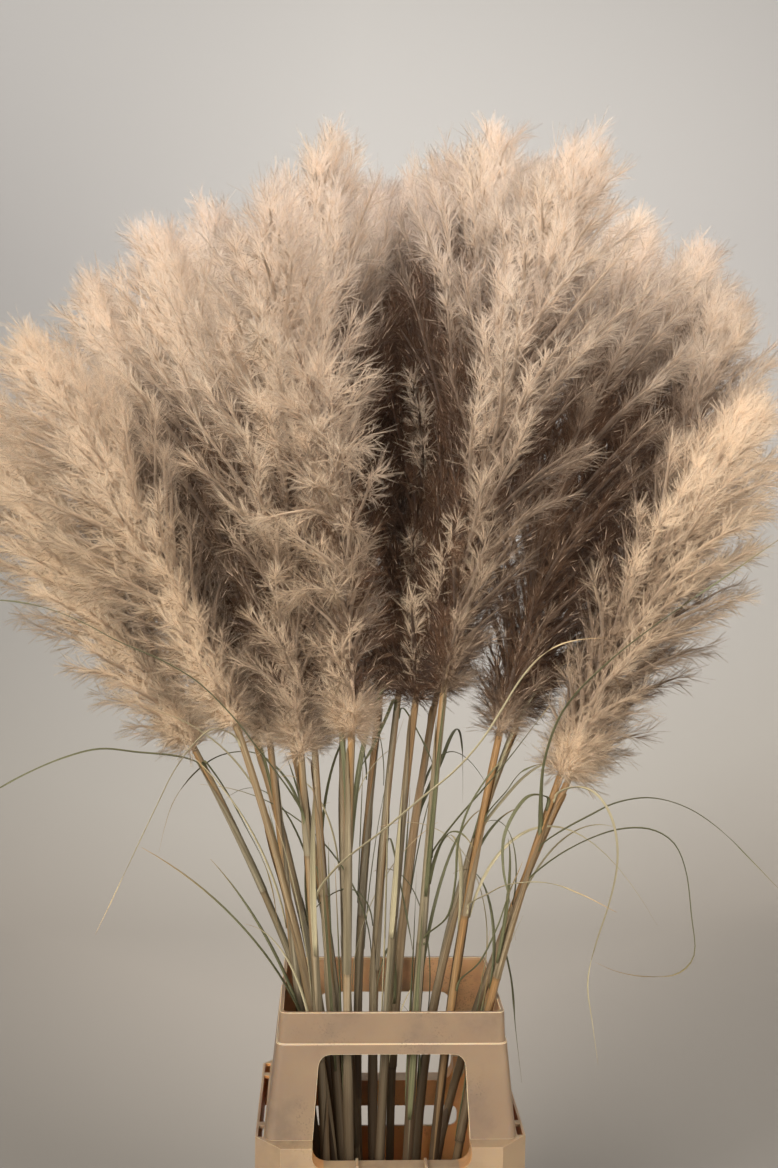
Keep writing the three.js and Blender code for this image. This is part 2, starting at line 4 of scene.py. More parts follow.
import bmesh
import bpy
import numpy as np
from mathutils import Matrix, Vector


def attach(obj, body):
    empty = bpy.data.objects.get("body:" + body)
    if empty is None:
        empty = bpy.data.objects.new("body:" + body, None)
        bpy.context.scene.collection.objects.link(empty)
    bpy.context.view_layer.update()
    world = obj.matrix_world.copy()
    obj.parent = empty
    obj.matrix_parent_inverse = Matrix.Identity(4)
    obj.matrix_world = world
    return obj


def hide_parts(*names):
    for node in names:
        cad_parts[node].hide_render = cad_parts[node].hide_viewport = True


# Dried pampas grass in a flower bucket. Metres, +Z up, front towards -Y, origin at the middle of
# the bucket's underside, as in the frame.

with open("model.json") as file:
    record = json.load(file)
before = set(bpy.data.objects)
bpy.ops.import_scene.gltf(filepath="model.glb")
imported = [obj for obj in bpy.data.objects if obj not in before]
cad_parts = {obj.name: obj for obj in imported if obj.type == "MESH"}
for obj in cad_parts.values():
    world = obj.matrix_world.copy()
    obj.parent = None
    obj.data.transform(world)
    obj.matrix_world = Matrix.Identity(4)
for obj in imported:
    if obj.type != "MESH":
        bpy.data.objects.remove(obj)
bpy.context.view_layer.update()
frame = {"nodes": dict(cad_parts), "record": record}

MM = 0.001
GOLDEN_ANGLE = math.pi * (3 - math.sqrt(5))
X_AXIS = np.array([1.0, 0.0, 0.0])
UP = np.array([0.0, 0.0, 1.0])

# ---- The camera: where it stands, which way it looks, and how much it takes in


CAMERA = {
    "place": (-0.072, -1.394, 0.9155),
    "turned": 2.7,  # degrees from +Y towards +X
    "tipped": 3.67,  # degrees down
    "rolled": 0.87,  # degrees
    "focal_px": 1350.0,
    "height_px": 1168,
    "film_mm": 36,
    "reach": 50,
}


def set_up_camera():
    turned, tipped, rolled = (math.radians(CAMERA[k]) for k in ("turned", "tipped", "rolled"))
    level = Vector((math.cos(turned), -math.sin(turned), 0))
    ahead = Vector((math.sin(turned), math.cos(turned), 0)) * math.cos(tipped)
    ahead.z = -math.sin(tipped)
    right = level * math.cos(rolled) + level.cross(ahead) * math.sin(rolled)
    up = right.cross(ahead)
    data = bpy.data.cameras.new("camera")
    data.sensor_fit = "VERTICAL"
    data.sensor_height = CAMERA["film_mm"]
    data.lens = CAMERA["film_mm"] * CAMERA["focal_px"] / CAMERA["height_px"]
    data.clip_end = CAMERA["reach"]
    camera = in_scene("camera", data)
    turn = Matrix((right, up, -ahead)).transposed()
    camera.matrix_world = Matrix.Translation(CAMERA["place"]) @ turn.to_4x4()
    bpy.context.scene.camera = camera


# ---- Lines, and forms laid along them


def unit(vectors):
    return vectors / np.maximum(np.linalg.norm(vectors, axis=-1, keepdims=True), 1e-12)


def square_to(vectors, axis):
    """The part of each vector that stands at right angles to the axis, with length one."""
    return unit(vectors - (vectors * axis).sum(-1, keepdims=True) * axis)


def directions(line):
    """The direction of each point of a line, or of each line of a stack of lines."""
    ahead = np.empty_like(line)
    ahead[..., 1:-1, :] = line[..., 2:, :] - line[..., :-2, :]
    ahead[..., 0, :] = line[..., 1, :] - line[..., 0, :]
    ahead[..., -1, :] = line[..., -1, :] - line[..., -2, :]
    return unit(ahead)


def smooth_line(points, count):
    """A smooth line of count points through a few points."""
    points = np.asarray(points, float)
    padded = np.vstack([2 * points[0] - points[1], points, 2 * points[-1] - points[-2]])
    at = np.linspace(0, len(points) - 1, count)
    start = np.minimum(at.astype(int), len(points) - 2)
    t = (at - start)[:, None]
    a, b, c, d = (padded[start + k] for k in range(4))
    return 0.5 * (
        2 * b + (c - a) * t + (2 * a - 5 * b + 4 * c - d) * t**2 + (3 * b - a - 3 * c + d) * t**3
    )


def length_of(line):
    return np.linalg.norm(np.diff(line, axis=0), axis=1).sum()


def bent(count, *points):
    """A line from the first point to the last one, pulled towards the others."""
    t = np.linspace(0, 1, count)[:, None]
    while len(points) > 1:
        points = [(1 - t) * a + t * b for a, b in zip(points, points[1:])]
    return points[0]


def bent_once(start, through, end, count):
    """A line that bends once and passes a point half way along."""
    return bent(count, start, 2 * through - (start + end) / 2, end)


def carried_side(line, first):
    """A side direction for each point of a line, carried along it without twist."""
    ahead = directions(line)
    side = [square_to(first, ahead[0])]
    for direction in ahead[1:]:
        side.append(square_to(side[-1], direction))
    return np.array(side)


def between(rows, at):
    """Rows of a table read at places between them."""
    at = np.clip(at, 0, len(rows) - 1)
    low = np.minimum(at.astype(int), len(rows) - 2)
    share = (at - low)[..., None]
    return rows[low] * (1 - share) + rows[low + 1] * share


def table_at(values, share):
    """A value read from an even table at a share of its length."""
    return np.interp(share, np.linspace(0, 1, len(values)), values)


def lay_along(bm, line, side):
    """Bends a form that stands on Z, from 0 to 1, along a line. Its X runs along the side, and
    its X and Y are already real sizes."""
    ahead = directions(line)
    face = np.cross(side, ahead)
    co = np.array([v.co for v in bm.verts])
    at = co[:, 2] * (len(line) - 1)
    places = between(line, at)
    places += co[:, :1] * unit(between(side, at)) + co[:, 1:2] * unit(between(face, at))
    for vertex, place in zip(bm.verts, places):
        vertex.co = place


def rod(sides, heights):
    """A closed upright rod of radius one from z 0 to 1, with a ring at each of the heights."""
    bm = bmesh.new()
    bmesh.ops.create_cone(bm, cap_ends=True, segments=sides, radius1=1, radius2=1, depth=1)
    bmesh.ops.translate(bm, verts=bm.verts, vec=(0, 0, 0.5))
    for height in heights:
        every = bm.verts[:] + bm.edges[:] + bm.faces[:]
        bmesh.ops.bisect_plane(bm, geom=every, plane_co=(0, 0, height), plane_no=(0, 0, 1))
    return bm


def strip(columns, rows):
    """A flat upright sheet, X from -1 to 1 and Z from 0 to 1."""
    bm = bmesh.new()
    bmesh.ops.create_grid(bm, x_segments=columns, y_segments=rows, size=1)
    bmesh.ops.rotate(bm, verts=bm.verts, matrix=Matrix.Rotation(math.pi / 2, 3, "X"))
    bmesh.ops.translate(bm, verts=bm.verts, vec=(0, 0, 1))
    bmesh.ops.scale(bm, verts=bm.verts, vec=(1, 1, 0.5))
    return bm


def in_scene(name, data):
    """A new object in the scene."""
    thing = bpy.data.objects.new(name, data)
    bpy.context.scene.collection.objects.link(thing)
    return thing


def keep_as_object(bm, name, material):
    mesh = bpy.data.meshes.new(name)
    bm.to_mesh(mesh)
    bm.free()
    mesh.materials.append(material)
    mesh.shade_smooth()
    return in_scene(name, mesh)


def join(target, source):
    """Adds a bmesh to another and frees it."""
    mesh = bpy.data.meshes.new("passing")
    source.to_mesh(mesh)
    source.free()
    target.from_mesh(mesh)
    bpy.data.meshes.remove(mesh)


def map_uv(bm, place):
    """A UV map that holds what a function says about each corner's vertex."""
    layer = bm.loops.layers.uv.new("UVMap")
    for face in bm.faces:
        for loop in face.loops:
            loop[layer].uv = place(loop.vert.co)


def widen(vertex, radius):
    vertex.co.x *= radius
    vertex.co.y *= radius


def clamped(value):
    return max(0.0, min(1.0, value))


# ---- What the frame's rods and blades say about their own lines


def rings(node):
    """The rings of corners of a CAD rod or blade, from one of its ends to the other."""
    mesh = frame["nodes"][node].data
    co = np.array([v.co for v in mesh.vertices])
    corners, index = np.unique(np.round(co, 6), axis=0, return_inverse=True)
    beside = [set() for _ in corners]
    for face in mesh.polygons:
        own = {int(index.ravel()[v]) for v in face.vertices}
        for corner in own:
            beside[corner] |= own - {corner}
    middle_of_end = min(
        range(len(corners)), key=lambda v: sum(abs(len(beside[n]) - 5) for n in beside[v])
    )
    seen = {middle_of_end}
    layer = {middle_of_end}
    found = []
    while True:
        layer = set().union(*(beside[v] for v in layer)) - seen
        if len(layer) < 3:
            return found
        seen |= layer
        found.append(corners[sorted(layer)])


def culm_line(number):
    """The middle line of a culm, from its foot to its neck."""
    middles = [ring.mean(0) for ring in rings(f"culm_{number:02d}")]
    if middles[0][2] > middles[-1][2]:
        middles.reverse()
    return bent_once(middles[0], middles[len(middles) // 2], middles[-1], CULM["points"])


def blade_line(node):
    """The middle line of a leaf blade from its root to its tip, its side there and its width."""
    found = rings(node)
    across = [max((a - b for a in ring for b in ring), key=np.linalg.norm) for ring in found]
    widths = np.linalg.norm(across, axis=1)
    if widths[0] < widths[-1]:
        found.reverse()
        across.reverse()
    sides = [unit(across[0])]
    for span in across[1:]:
        sides.append(unit(span) if span @ sides[-1] > 0 else -unit(span))
    return np.array([ring.mean(0) for ring in found]), np.array(sides), max(widths)


# ---- Materials


def group(name, inputs, outputs):
    """A node group with an input Vector, and inputs and outputs that are single numbers."""
    tree = bpy.data.node_groups.new(name, "ShaderNodeTree")
    tree.interface.new_socket("Vector", in_out="INPUT", socket_type="NodeSocketVector")
    for way, sockets in (("INPUT", inputs), ("OUTPUT", outputs)):
        for socket in sockets:
            tree.interface.new_socket(socket, in_out=way, socket_type="NodeSocketFloat")
    return tree, tree.nodes.new("NodeGroupInput").outputs, tree.nodes.new("NodeGroupOutput")


def plug(tree, made, **links):
    """Gives inputs of a node a value, or a link where a socket is given. An input is named by its
    label with _ for a space, or by its number as n0, n1 and so on."""
    for key, value in links.items():
        numbered = key[0] == "n" and key[1:].isdigit()
        socket = made.inputs[int(key[1:]) if numbered else key.replace("_", " ")]
        if isinstance(value, bpy.types.NodeSocket):
            tree.links.new(value, socket)
        else:
            socket.default_value = (*value, 1) if socket.type == "RGBA" else value
    return made


def node(tree, kind, settings=None, **links):
    """A new node with its settings and inputs."""
    made = tree.nodes.new(f"ShaderNode{kind}")
    for key, value in (settings or {}).items():
        setattr(made, key, value)
    return plug(tree, made, **links)


def use_group(tree, which, **links):
    """The outputs of a node group that is put to use."""
    return node(tree, "Group", {"node_tree": which}, **links).outputs


def laid_over(tree, colour, *over):
    """A colour with others laid over it in turn, each with its share."""
    for share, top in over:
        made = node(tree, "Mix", {"data_type": "RGBA"}, Factor=share, n6=colour, n7=top)
        colour = made.outputs[2]
    return colour


def spread(tree, value, low, high, to_low=0.0, to_high=1.0):
    """A value carried from one span over to another, and kept inside it."""
    span = {"From_Min": low, "From_Max": high, "To_Min": to_low, "To_Max": to_high}
    return node(tree, "MapRange", Value=value, **span).outputs[0]


def maths(tree, operation, first, second=0.0):
    return node(tree, "Math", {"operation": operation}, n0=first, n1=second).outputs[0]


def times(tree, first, second):
    return maths(tree, "MULTIPLY", first, second)


def noise(tree, vector, scale, detail, roughness=0.5, kind="3D"):
    settings = {"noise_dimensions": kind}
    values = {"Scale": scale, "Detail": detail, "Roughness": roughness}
    return node(tree, "TexNoise", settings, Vector=vector, **values).outputs[0]


def stretched(tree, vector, across, along):
    """A place on a UV map with its U and its V made larger."""
    u, v = node(tree, "SeparateXYZ", Vector=vector).outputs[:2]
    made = node(tree, "CombineXYZ", X=times(tree, u, across), Y=times(tree, v, along))
    return made.outputs[0]


def blotches_group():
    """Soft uneven patches, rubbed-in smudges with torn edges, and small hard specks."""
    outputs = ("Patches", "Smudges", "Dirt")
    tree, given, result = group("blotches and specks", ("Size", "Specks"), outputs)
    place = given["Vector"]
    patches = noise(tree, place, given["Size"], 4.0)
    rubbed = spread(tree, noise(tree, place, 13.0, 7.0, roughness=0.62), 0.5, 0.62)
    fringe = spread(tree, noise(tree, place, 70.0, 3.0), 0.3, 0.6, to_low=0.35)
    grit = spread(tree, noise(tree, place, 480.0, 3.0), 0.56, 0.64)
    where = spread(tree, noise(tree, place, 19.0, 4.0), 0.56, 0.66)
    plug(
        tree,
        result,
        Patches=spread(tree, patches, 0.3, 0.7),
        Smudges=times(tree, rubbed, fringe),
        Dirt=times(tree, times(tree, grit, where), given["Specks"]),
    )
    return tree


def fibre_group():
    """Fine streaks that run along a stem or blade: U goes round or across it, V along it."""
    tree, given, result = group("fibres", ("Across", "Along"), ("Streaks", "Fine"))
    place = stretched(tree, given["Vector"], given["Across"], given["Along"])
    broad = spread(tree, noise(tree, place, 0.35, 2.0), 0.35, 0.65)
    fine = spread(tree, noise(tree, place, 1.6, 3.0), 0.3, 0.7)
    plug(tree, result, Streaks=broad, Fine=fine)
    return tree


def strand_group():
    """Single hairs on a tuft: U goes across them, V from the root to the ends, where they thin
    out. Solid is 1 on a hair and 0 between hairs."""
    tree, given, result = group("strands", (), ("Solid",))
    hair = noise(tree, stretched(tree, given["Vector"], 20.0, 1.6), 1.0, 1.0, kind="2D")
    along = node(tree, "SeparateXYZ", Vector=given["Vector"]).outputs[1]
    thin = times(tree, maths(tree, "POWER", along, 2.0), 0.28)
    plug(tree, result, Solid=spread(tree, maths(tree, "SUBTRACT", hair, thin), 0.36, 0.5))
    return tree


def new_material(name):
    """A material, its nodes and its shader."""
    material = bpy.data.materials.new(name)
    material.use_nodes = True
    return material, material.node_tree, material.node_tree.nodes["Principled BSDF"]


def attribute(tree, name):
    return node(tree, "Attribute", {"attribute_name": name}).outputs["Fac"]


def uv_place(tree):
    return node(tree, "UVMap").outputs[0]


def place_and_height(tree):
    """Where a point is, and its height alone."""
    place = node(tree, "TexCoord").outputs["Object"]
    return place, node(tree, "SeparateXYZ", Vector=place).outputs[2]


def bump(tree, shader, height, strength, distance):
    made = node(tree, "Bump", Height=height, Strength=strength, Distance=distance)
    plug(tree, shader, Normal=made.outputs[0])


def let_light_through(tree, shader, colour, share):
    """Replaces a share of a surface with one that glows when it is lit from behind."""
    glow = node(tree, "BsdfTranslucent", Color=colour)
    both = node(tree, "MixShader", Fac=share, n1=shader.outputs[0], n2=glow.outputs[0])
    plug(tree, tree.nodes["Material Output"], Surface=both.outputs[0])


def bucket_plastic(name, plain, patch, edge, inside):
    """Cream polypropylene with a painted highlight on its rounded edges, painted glow of light
    through the walls on its inside faces, dull patches, grey smudges and dirt specks."""
    material, tree, shader = new_material(name)
    place, _ = place_and_height(tree)
    marks = use_group(tree, blotches, Vector=place, Size=11.0, Specks=0.5)
    smudge = tuple(0.65 * c for c in patch)
    colour = laid_over(
        tree,
        plain,
        (marks["Patches"], patch),
        # Painted glow: the inside faces are warmer and lighter, as where light comes through the
        # walls.
        (attribute(tree, "inside"), inside),
        (times(tree, marks["Smudges"], 0.6), smudge),
        # Painted highlight along every rounded edge.
        (attribute(tree, "edge"), edge),
        (marks["Dirt"], DIRT),
    )
    plug(
        tree,
        shader,
        Base_Color=colour,
        Roughness=spread(tree, marks["Smudges"], 0, 1, 0.42, 0.65),
        Subsurface_Weight=0.25,
        Subsurface_Radius=(1.0, 0.45, 0.18),
        Subsurface_Scale=6 * MM,
    )
    bump(tree, shader, noise(tree, place, 900.0, 2.0), 0.12, 0.4 * MM)
    let_light_through(tree, shader, inside, 0.2)
    return material


def culm_skin(name, pale, green, warm, dark):
    """A dry stem or sheath: grey-olive, streaked along, golden brown where `warm` says, which on a
    culm is partly a painted lit side, and nearly black where `joint` says, which holds the
    joints, age and painted shade low down inside the bucket."""
    material, tree, shader = new_material(name)
    streaks = use_group(tree, fibres, Vector=uv_place(tree), Across=26.0, Along=9.0)
    flecks = use_group(tree, fibres, Vector=uv_place(tree), Across=60.0, Along=90.0)
    colour = laid_over(
        tree,
        pale,
        (streaks["Streaks"], green),
        (attribute(tree, "warm"), warm),
        (times(tree, streaks["Fine"], 0.65), dark),
        (times(tree, flecks["Streaks"], 0.3), dark),
        (attribute(tree, "joint"), dark),
    )
    plug(tree, shader, Base_Color=colour, Roughness=0.5, Specular_IOR_Level=0.35)
    bump(tree, shader, streaks["Fine"], 0.35, 0.3 * MM)
    return material


def blade_skin(name, plain, pale, tip):
    """A leaf blade with a pale midrib and fine veins, drying out towards its tip."""
    material, tree, shader = new_material(name)
    along = uv_place(tree)
    streaks = use_group(tree, fibres, Vector=along, Across=12.0, Along=5.0)
    off_middle = maths(tree, "ABSOLUTE", node(tree, "SeparateXYZ", Vector=along).outputs[0])
    colour = laid_over(
        tree,
        plain,
        (times(tree, streaks["Streaks"], 0.7), pale),
        (attribute(tree, "warm"), tip),
        (spread(tree, off_middle, 0.1, 0.22, 0.35, 0.0), pale),
    )
    plug(tree, shader, Base_Color=colour, Roughness=0.55, Specular_IOR_Level=0.25)
    bump(tree, shader, streaks["Fine"], 0.3, 0.2 * MM)
    return material


# Between these heights the plumes turn from the colour of the low ones to that of the high ones.
LOW_TO_HIGH = (1.2, 0.85)


def plume_silk(name, root, deep, low, tip, rosy):
    """Silky hairs that let light through: cream at the tip, browner at the root and low in the
    bunch, darker with random tone, browner branch feet and painted shade deep in the plume,
    and rosier towards its top."""
    material, tree, shader = new_material(name)
    along = node(tree, "SeparateXYZ", Vector=uv_place(tree)).outputs[1]
    place, height = place_and_height(tree)
    drift = noise(tree, place, 9.0, 2.0)
    rosiness = times(tree, spread(tree, height, 0.8, 1.25), spread(tree, drift, 0.3, 0.6))
    ends = laid_over(tree, tip, (rosiness, rosy), (spread(tree, height, *LOW_TO_HIGH), low))
    # The deep colour stands for random tone, browner branch feet and painted shade deep in the
    # bunch.
    colour = laid_over(
        tree, root, (spread(tree, along, 0.0, 0.6), ends), (attribute(tree, "depth"), deep)
    )
    solid = use_group(tree, strands, Vector=uv_place(tree))["Solid"]
    plug(
        tree,
        shader,
        Base_Color=colour,
        Roughness=0.6,
        Specular_IOR_Level=0.08,
        Sheen_Weight=0.06,
        Sheen_Roughness=0.5,
        Alpha=solid,
    )
    let_light_through(tree, shader, colour, times(tree, solid, 0.62))
    return material


def plume_down_skin(name, root, deep, low, tip):
    """Matted down under the hairs: fine streaks along the tail, darker with painted shade
    where it lies deep.
    """
    material, tree, shader = new_material(name)
    streaks = use_group(tree, fibres, Vector=uv_place(tree), Across=10.0, Along=60.0)
    _, height = place_and_height(tree)
    ends = laid_over(tree, tip, (spread(tree, height, *LOW_TO_HIGH), low))
    # The deep colour is painted shade where the down lies deep, with browner branch feet.
    colour = laid_over(tree, root, (streaks["Fine"], ends), (attribute(tree, "depth"), deep))
    plug(tree, shader, Base_Color=colour, Roughness=0.9, Specular_IOR_Level=0.1, Sheen_Weight=0.1)
    bump(tree, shader, streaks["Fine"], 0.8, 2 * MM)
    let_light_through(tree, shader, colour, 0.35)
    return material


# ---- Bucket and collar


DIRT = (0.06, 0.045, 0.035)
MOULDING = {
    "edge": 0.8 * MM,  # width of a rounded edge
    "weld": 0.01 * MM,
    "flat": 1,  # degrees; faces that meet at less are one face
    "sharp": 0.6,  # radians; an edge that turns further is rounded
    "smooth": 18,  # degrees; faces that meet at less are shaded as one
    "inwards": -0.02,  # a face that looks this far or further towards the middle is inside
}


def moulding(node_name, name, material):
    """A CAD moulding with its edges rounded off. Its faces say where it is an edge, which gets a
    painted highlight, and where it is the inside, which gets painted glow."""
    bm = bmesh.new()
    bm.from_mesh(frame["nodes"][node_name].data)
    edge = bm.faces.layers.float.new("edge")
    inside = bm.faces.layers.float.new("inside")
    bmesh.ops.remove_doubles(bm, verts=bm.verts, dist=MOULDING["weld"])
    flat = math.radians(MOULDING["flat"])
    bmesh.ops.dissolve_limit(
        bm, angle_limit=flat, verts=bm.verts, edges=bm.edges, delimit={"NORMAL"}
    )
    inner = [e for e in bm.edges if len(e.link_faces) == 2]
    sharp = [e for e in inner if e.calc_face_angle() > MOULDING["sharp"]]
    form = {"affect": "EDGES", "segments": 2, "profile": 0.5, "clamp_overlap": True}
    made = bmesh.ops.bevel(bm, geom=sharp, offset=MOULDING["edge"], material=-1, **form)
    for face in made["faces"]:
        face[edge] = 1.0
    for face in bm.faces:
        middle = face.calc_center_median()
        outwards = face.normal.x * middle.x + face.normal.y * middle.y
        face[inside] = 1.0 if outwards < MOULDING["inwards"] else 0.0
    bmesh.ops.triangulate(bm, faces=bm.faces)
    piece = keep_as_object(bm, name, material)
    piece.data.set_sharp_from_angle(angle=math.radians(MOULDING["smooth"]))
    even = piece.modifiers.new("even shading", "WEIGHTED_NORMAL")
    even.keep_sharp = True
    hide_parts(node_name)
    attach(piece, "root")


# ---- Culms


CULM = {
    "sides": 10,
    "rings": 22,
    "points": 60,  # of the middle line
    "foot": 5.1 * MM,
    "neck": 3.6 * MM,
    "internode": (0.24, 0.46),  # share of the culm
    "joints": 4,
    "first": 0.15,  # the lowest joint lies up to this much lower
    "last": 0.9,
    "joint_swell": 0.1,
    "joint_length": 4 * MM,
    "shade_top": 0.42,  # below this height the culms get painted shade, for the dark inside the bucket
    "shade_fade": 0.12,
    "golden_from": (0.35, 0.75),
    "red": {15: 0.9, 17: 0.6, 18: 0.7, 2: 0.5, 6: 0.35, 13: 0.4},
    "others_red": (0.0, 0.3),
    "old": (0.0, 0.45),
    "smooth": 50,  # degrees
}


def culm_radius(t):
    return CULM["foot"] + (CULM["neck"] - CULM["foot"]) * t


# Painted shade on the culms low down, for the dark inside the bucket: none above the height, and
# full a little below it.
def shade_in_bucket(line, t):
    return clamped((CULM["shade_top"] - table_at(line[:, 2], t)) / CULM["shade_fade"])


def culm_piece(number, material):
    rng = np.random.default_rng(number)
    line = culm_line(number)
    length = length_of(line)
    side = carried_side(line, X_AXIS)
    joints = np.cumsum(rng.uniform(*CULM["internode"], CULM["joints"]))
    joints -= rng.uniform(0, CULM["first"])
    joints = joints[joints < CULM["last"]]
    half = CULM["joint_length"] / length
    heights = list(np.linspace(0, 1, CULM["rings"] + 2)[1:-1])
    for joint in joints:
        heights += [joint + half * third / 3 for third in (-3, -1, 1, 3)]
    bm = rod(CULM["sides"], heights)
    painted_lit_side = rng.uniform(0, 2 * math.pi)
    warm_from = rng.uniform(*CULM["golden_from"])
    redness = CULM["red"].get(number, rng.uniform(*CULM["others_red"]))
    old = rng.uniform(*CULM["old"])
    uv_layer = bm.loops.layers.uv.new("UVMap")
    warm = bm.verts.layers.float.new("warm")
    joint_age_and_shade = bm.verts.layers.float.new("joint")
    for face in bm.faces:
        turns = [math.atan2(loop.vert.co.y, loop.vert.co.x) for loop in face.loops]
        for loop, turn in zip(face.loops, turns):
            if turn < max(turns) - math.pi:
                turn += 2 * math.pi
            loop[uv_layer].uv = (turn / (2 * math.pi) + number, loop.vert.co.z * length)
    for vertex in bm.verts:
        t = vertex.co.z
        near = max(0, max((1 - abs(t - joint) / half for joint in joints), default=0))
        turn = math.atan2(vertex.co.y, vertex.co.x)
        # Painted light: one side of each culm, turned at random, is painted more golden, as if
        # lit.
        lit = 0.5 + 0.5 * math.cos(turn - painted_lit_side)
        golden = clamped((t - warm_from) * 5) * (0.1 + 0.75 * lit)
        vertex[warm] = clamped(redness * (0.6 + 0.4 * lit) + golden)
        # Age darkens the whole culm; low down it also gets painted shade, for the dark inside the
        # bucket.
        age_and_shade = 0.7 * shade_in_bucket(line, t) * (0.5 + old) + 0.4 * old
        vertex[joint_age_and_shade] = clamped(0.5 * near + age_and_shade)
        widen(vertex, culm_radius(t) * (1 + CULM["joint_swell"] * near))
    lay_along(bm, line, side)
    for joint in joints:
        sheath(bm, rng, line, side, joint, length, redness)
    piece = keep_as_object(bm, f"stem_{number:02d}", material)
    piece.data.set_sharp_from_angle(angle=math.radians(CULM["smooth"]))
    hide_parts(f"culm_{number:02d}")
    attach(piece, "root")


SHEATH = {
    "columns": 9,
    "rows": 14,
    "length": (0.22, 0.5),  # share of the culm
    "shortest": 0.06,
    "top": 0.985,  # no sheath goes higher up its culm
    "stand_off": 0.4 * MM,
    "flare": 1.3 * MM,
    "thickness": 0.25 * MM,
    "wrap": (0.97, 0.72),  # share of the round at the foot, and how much of it goes by the top
    "warmth": (0.0, 0.8),
    "age": (0.0, 0.3),
    "rim": 0.7,  # across a sheath, its edge is darker from here on
}


def sheath(bm, rng, line, side, start, length, redness):
    """A papery sheath that wraps the culm from a joint upwards and opens towards its top."""
    reach = min(rng.uniform(*SHEATH["length"]), SHEATH["top"] - start)
    if reach < SHEATH["shortest"]:
        return
    wrap = strip(SHEATH["columns"], SHEATH["rows"])
    warm = wrap.verts.layers.float.new("warm")
    dark = wrap.verts.layers.float.new("joint")
    turned = rng.uniform(0, 2 * math.pi)
    warmth = rng.uniform(*SHEATH["warmth"]) * (0.35 + 0.65 * start / 0.6) + redness
    age = rng.uniform(*SHEATH["age"])
    offset = rng.uniform(0, 9)
    map_uv(wrap, lambda co: (0.5 * co.x + offset, (start + co.z * reach) * length))
    round_at_foot, lost = SHEATH["wrap"]
    for vertex in wrap.verts:
        x, z = vertex.co.x, vertex.co.z
        t = start + z * reach * (1 - 0.12 * abs(x) ** 2)
        radius = culm_radius(t) + SHEATH["stand_off"]
        radius += SHEATH["flare"] * z**4 * (0.4 + 0.6 * abs(x))
        turn = turned + x * math.pi * (round_at_foot - lost * z**1.5)
        vertex[warm] = clamped(warmth * (0.35 + 0.65 * z) * (1 - 0.5 * abs(x)))
        rim = max(0.0, abs(x) - SHEATH["rim"]) / (1 - SHEATH["rim"])
        # Age and darker rims, with painted shade low down, for the dark inside the bucket.
        vertex[dark] = clamped(age + 0.75 * shade_in_bucket(line, t) + 0.35 * rim)
        vertex.co = (radius * math.cos(turn), radius * math.sin(turn), t)
    bmesh.ops.recalc_face_normals(wrap, faces=wrap.faces)
    lay_along(wrap, line, side)
    bmesh.ops.solidify(wrap, geom=wrap.faces, thickness=SHEATH["thickness"])
    join(bm, wrap)


# ---- Leaf blades


BLADE = {
    "columns": 4,
    "rows": 46,
    "points": 80,  # of the middle line
    "thickness": 0.3 * MM,
    "fold": 0.28,
    "fullness": 1.25,
    "twist": 1.3,  # radians, at most
    "dry_from": (0.6, 0.95),  # share of the blade
}


def blade_form(rng, line, side, width, rows):
    """A long thin leaf, folded along its midrib and a little twisted."""
    length = length_of(line)
    bm = strip(BLADE["columns"], rows)
    warm = bm.verts.layers.float.new("warm")
    map_uv(bm, lambda co: (co.x, co.z * length * 10))
    twist = rng.uniform(-BLADE["twist"], BLADE["twist"])
    dry_from = rng.uniform(*BLADE["dry_from"])
    for vertex in bm.verts:
        x, t = vertex.co.x, vertex.co.z
        half = 0.5 * width * (0.5 * (1 - t) + 0.5 * math.sin(math.pi * t**0.6)) + 0.15 * MM
        turn = twist * t**2
        across, lift = x * half, abs(x) * half * BLADE["fold"] * 2
        vertex[warm] = clamped((t - dry_from) * 3)
        vertex.co.x = across * math.cos(turn) - lift * math.sin(turn)
        vertex.co.y = across * math.sin(turn) + lift * math.cos(turn)
    lay_along(bm, line, side)
    bmesh.ops.solidify(bm, geom=bm.faces, thickness=BLADE["thickness"])
    return bm


def blade_piece(node_name, index, skins):
    """A leaf blade of the frame, and what it is made of."""
    middles, wide, width = blade_line(node_name)
    slots = {s["node"]: s["material_slot"] for s in frame["record"]["subparts"]}
    rng = np.random.default_rng(index)
    line, side = (smooth_line(points, BLADE["points"]) for points in (middles, wide))
    bm = blade_form(rng, line, unit(side), width * BLADE["fullness"], BLADE["rows"])
    skin = skins[slots[node_name]]
    blade = keep_as_object(bm, node_name.replace("leaf_", "blade_"), skin)
    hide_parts(node_name)
    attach(blade, "root")


WISP = {
    "length": (110 * MM, 300 * MM),
    "width": (3 * MM, 6.5 * MM),
    "rows": 20,
    "points": 40,
    "rest": 4.6 * MM,  # from the culm's middle line
    "from": (0.38, 0.9),  # share of the culm
    "opening": (0.03, 0.1, 0.35, 0.6),  # from lying along the culm to standing off
}


def wisps(number, count, material, slot):
    """Thin leaves of a culm: some lie along it, some stand off and fall over."""
    rng = np.random.default_rng(500 + number)
    culm = culm_line(number)
    ahead = directions(culm)
    bm = bmesh.new()
    for _ in range(count):
        at = np.array([rng.uniform(*WISP["from"]) * (len(culm) - 1)])
        root, along = between(culm, at)[0], unit(between(ahead, at))[0]
        turn = rng.uniform(0, 2 * math.pi)
        out = square_to(np.array([math.cos(turn), 0.5 * math.sin(turn), 0.0]), along)
        long = rng.uniform(*WISP["length"])
        opening = rng.choice(WISP["opening"]) * rng.uniform(0.6, 1.3)
        fall = opening * rng.uniform(0.2, 1.6)
        t = np.linspace(0, 1, WISP["points"])[:, None]
        line = root + out * WISP["rest"] + long * (
            along * (t - 0.3 * fall * t**2) + out * opening * t**1.7 - UP * fall * 0.8 * t**3
        )
        side = carried_side(line, np.cross(along, out))
        join(bm, blade_form(rng, line, side, rng.uniform(*WISP["width"]), WISP["rows"]))
    piece = keep_as_object(bm, f"thin_leaves_{slot}_{number:02d}", material)
    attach(piece, "root")


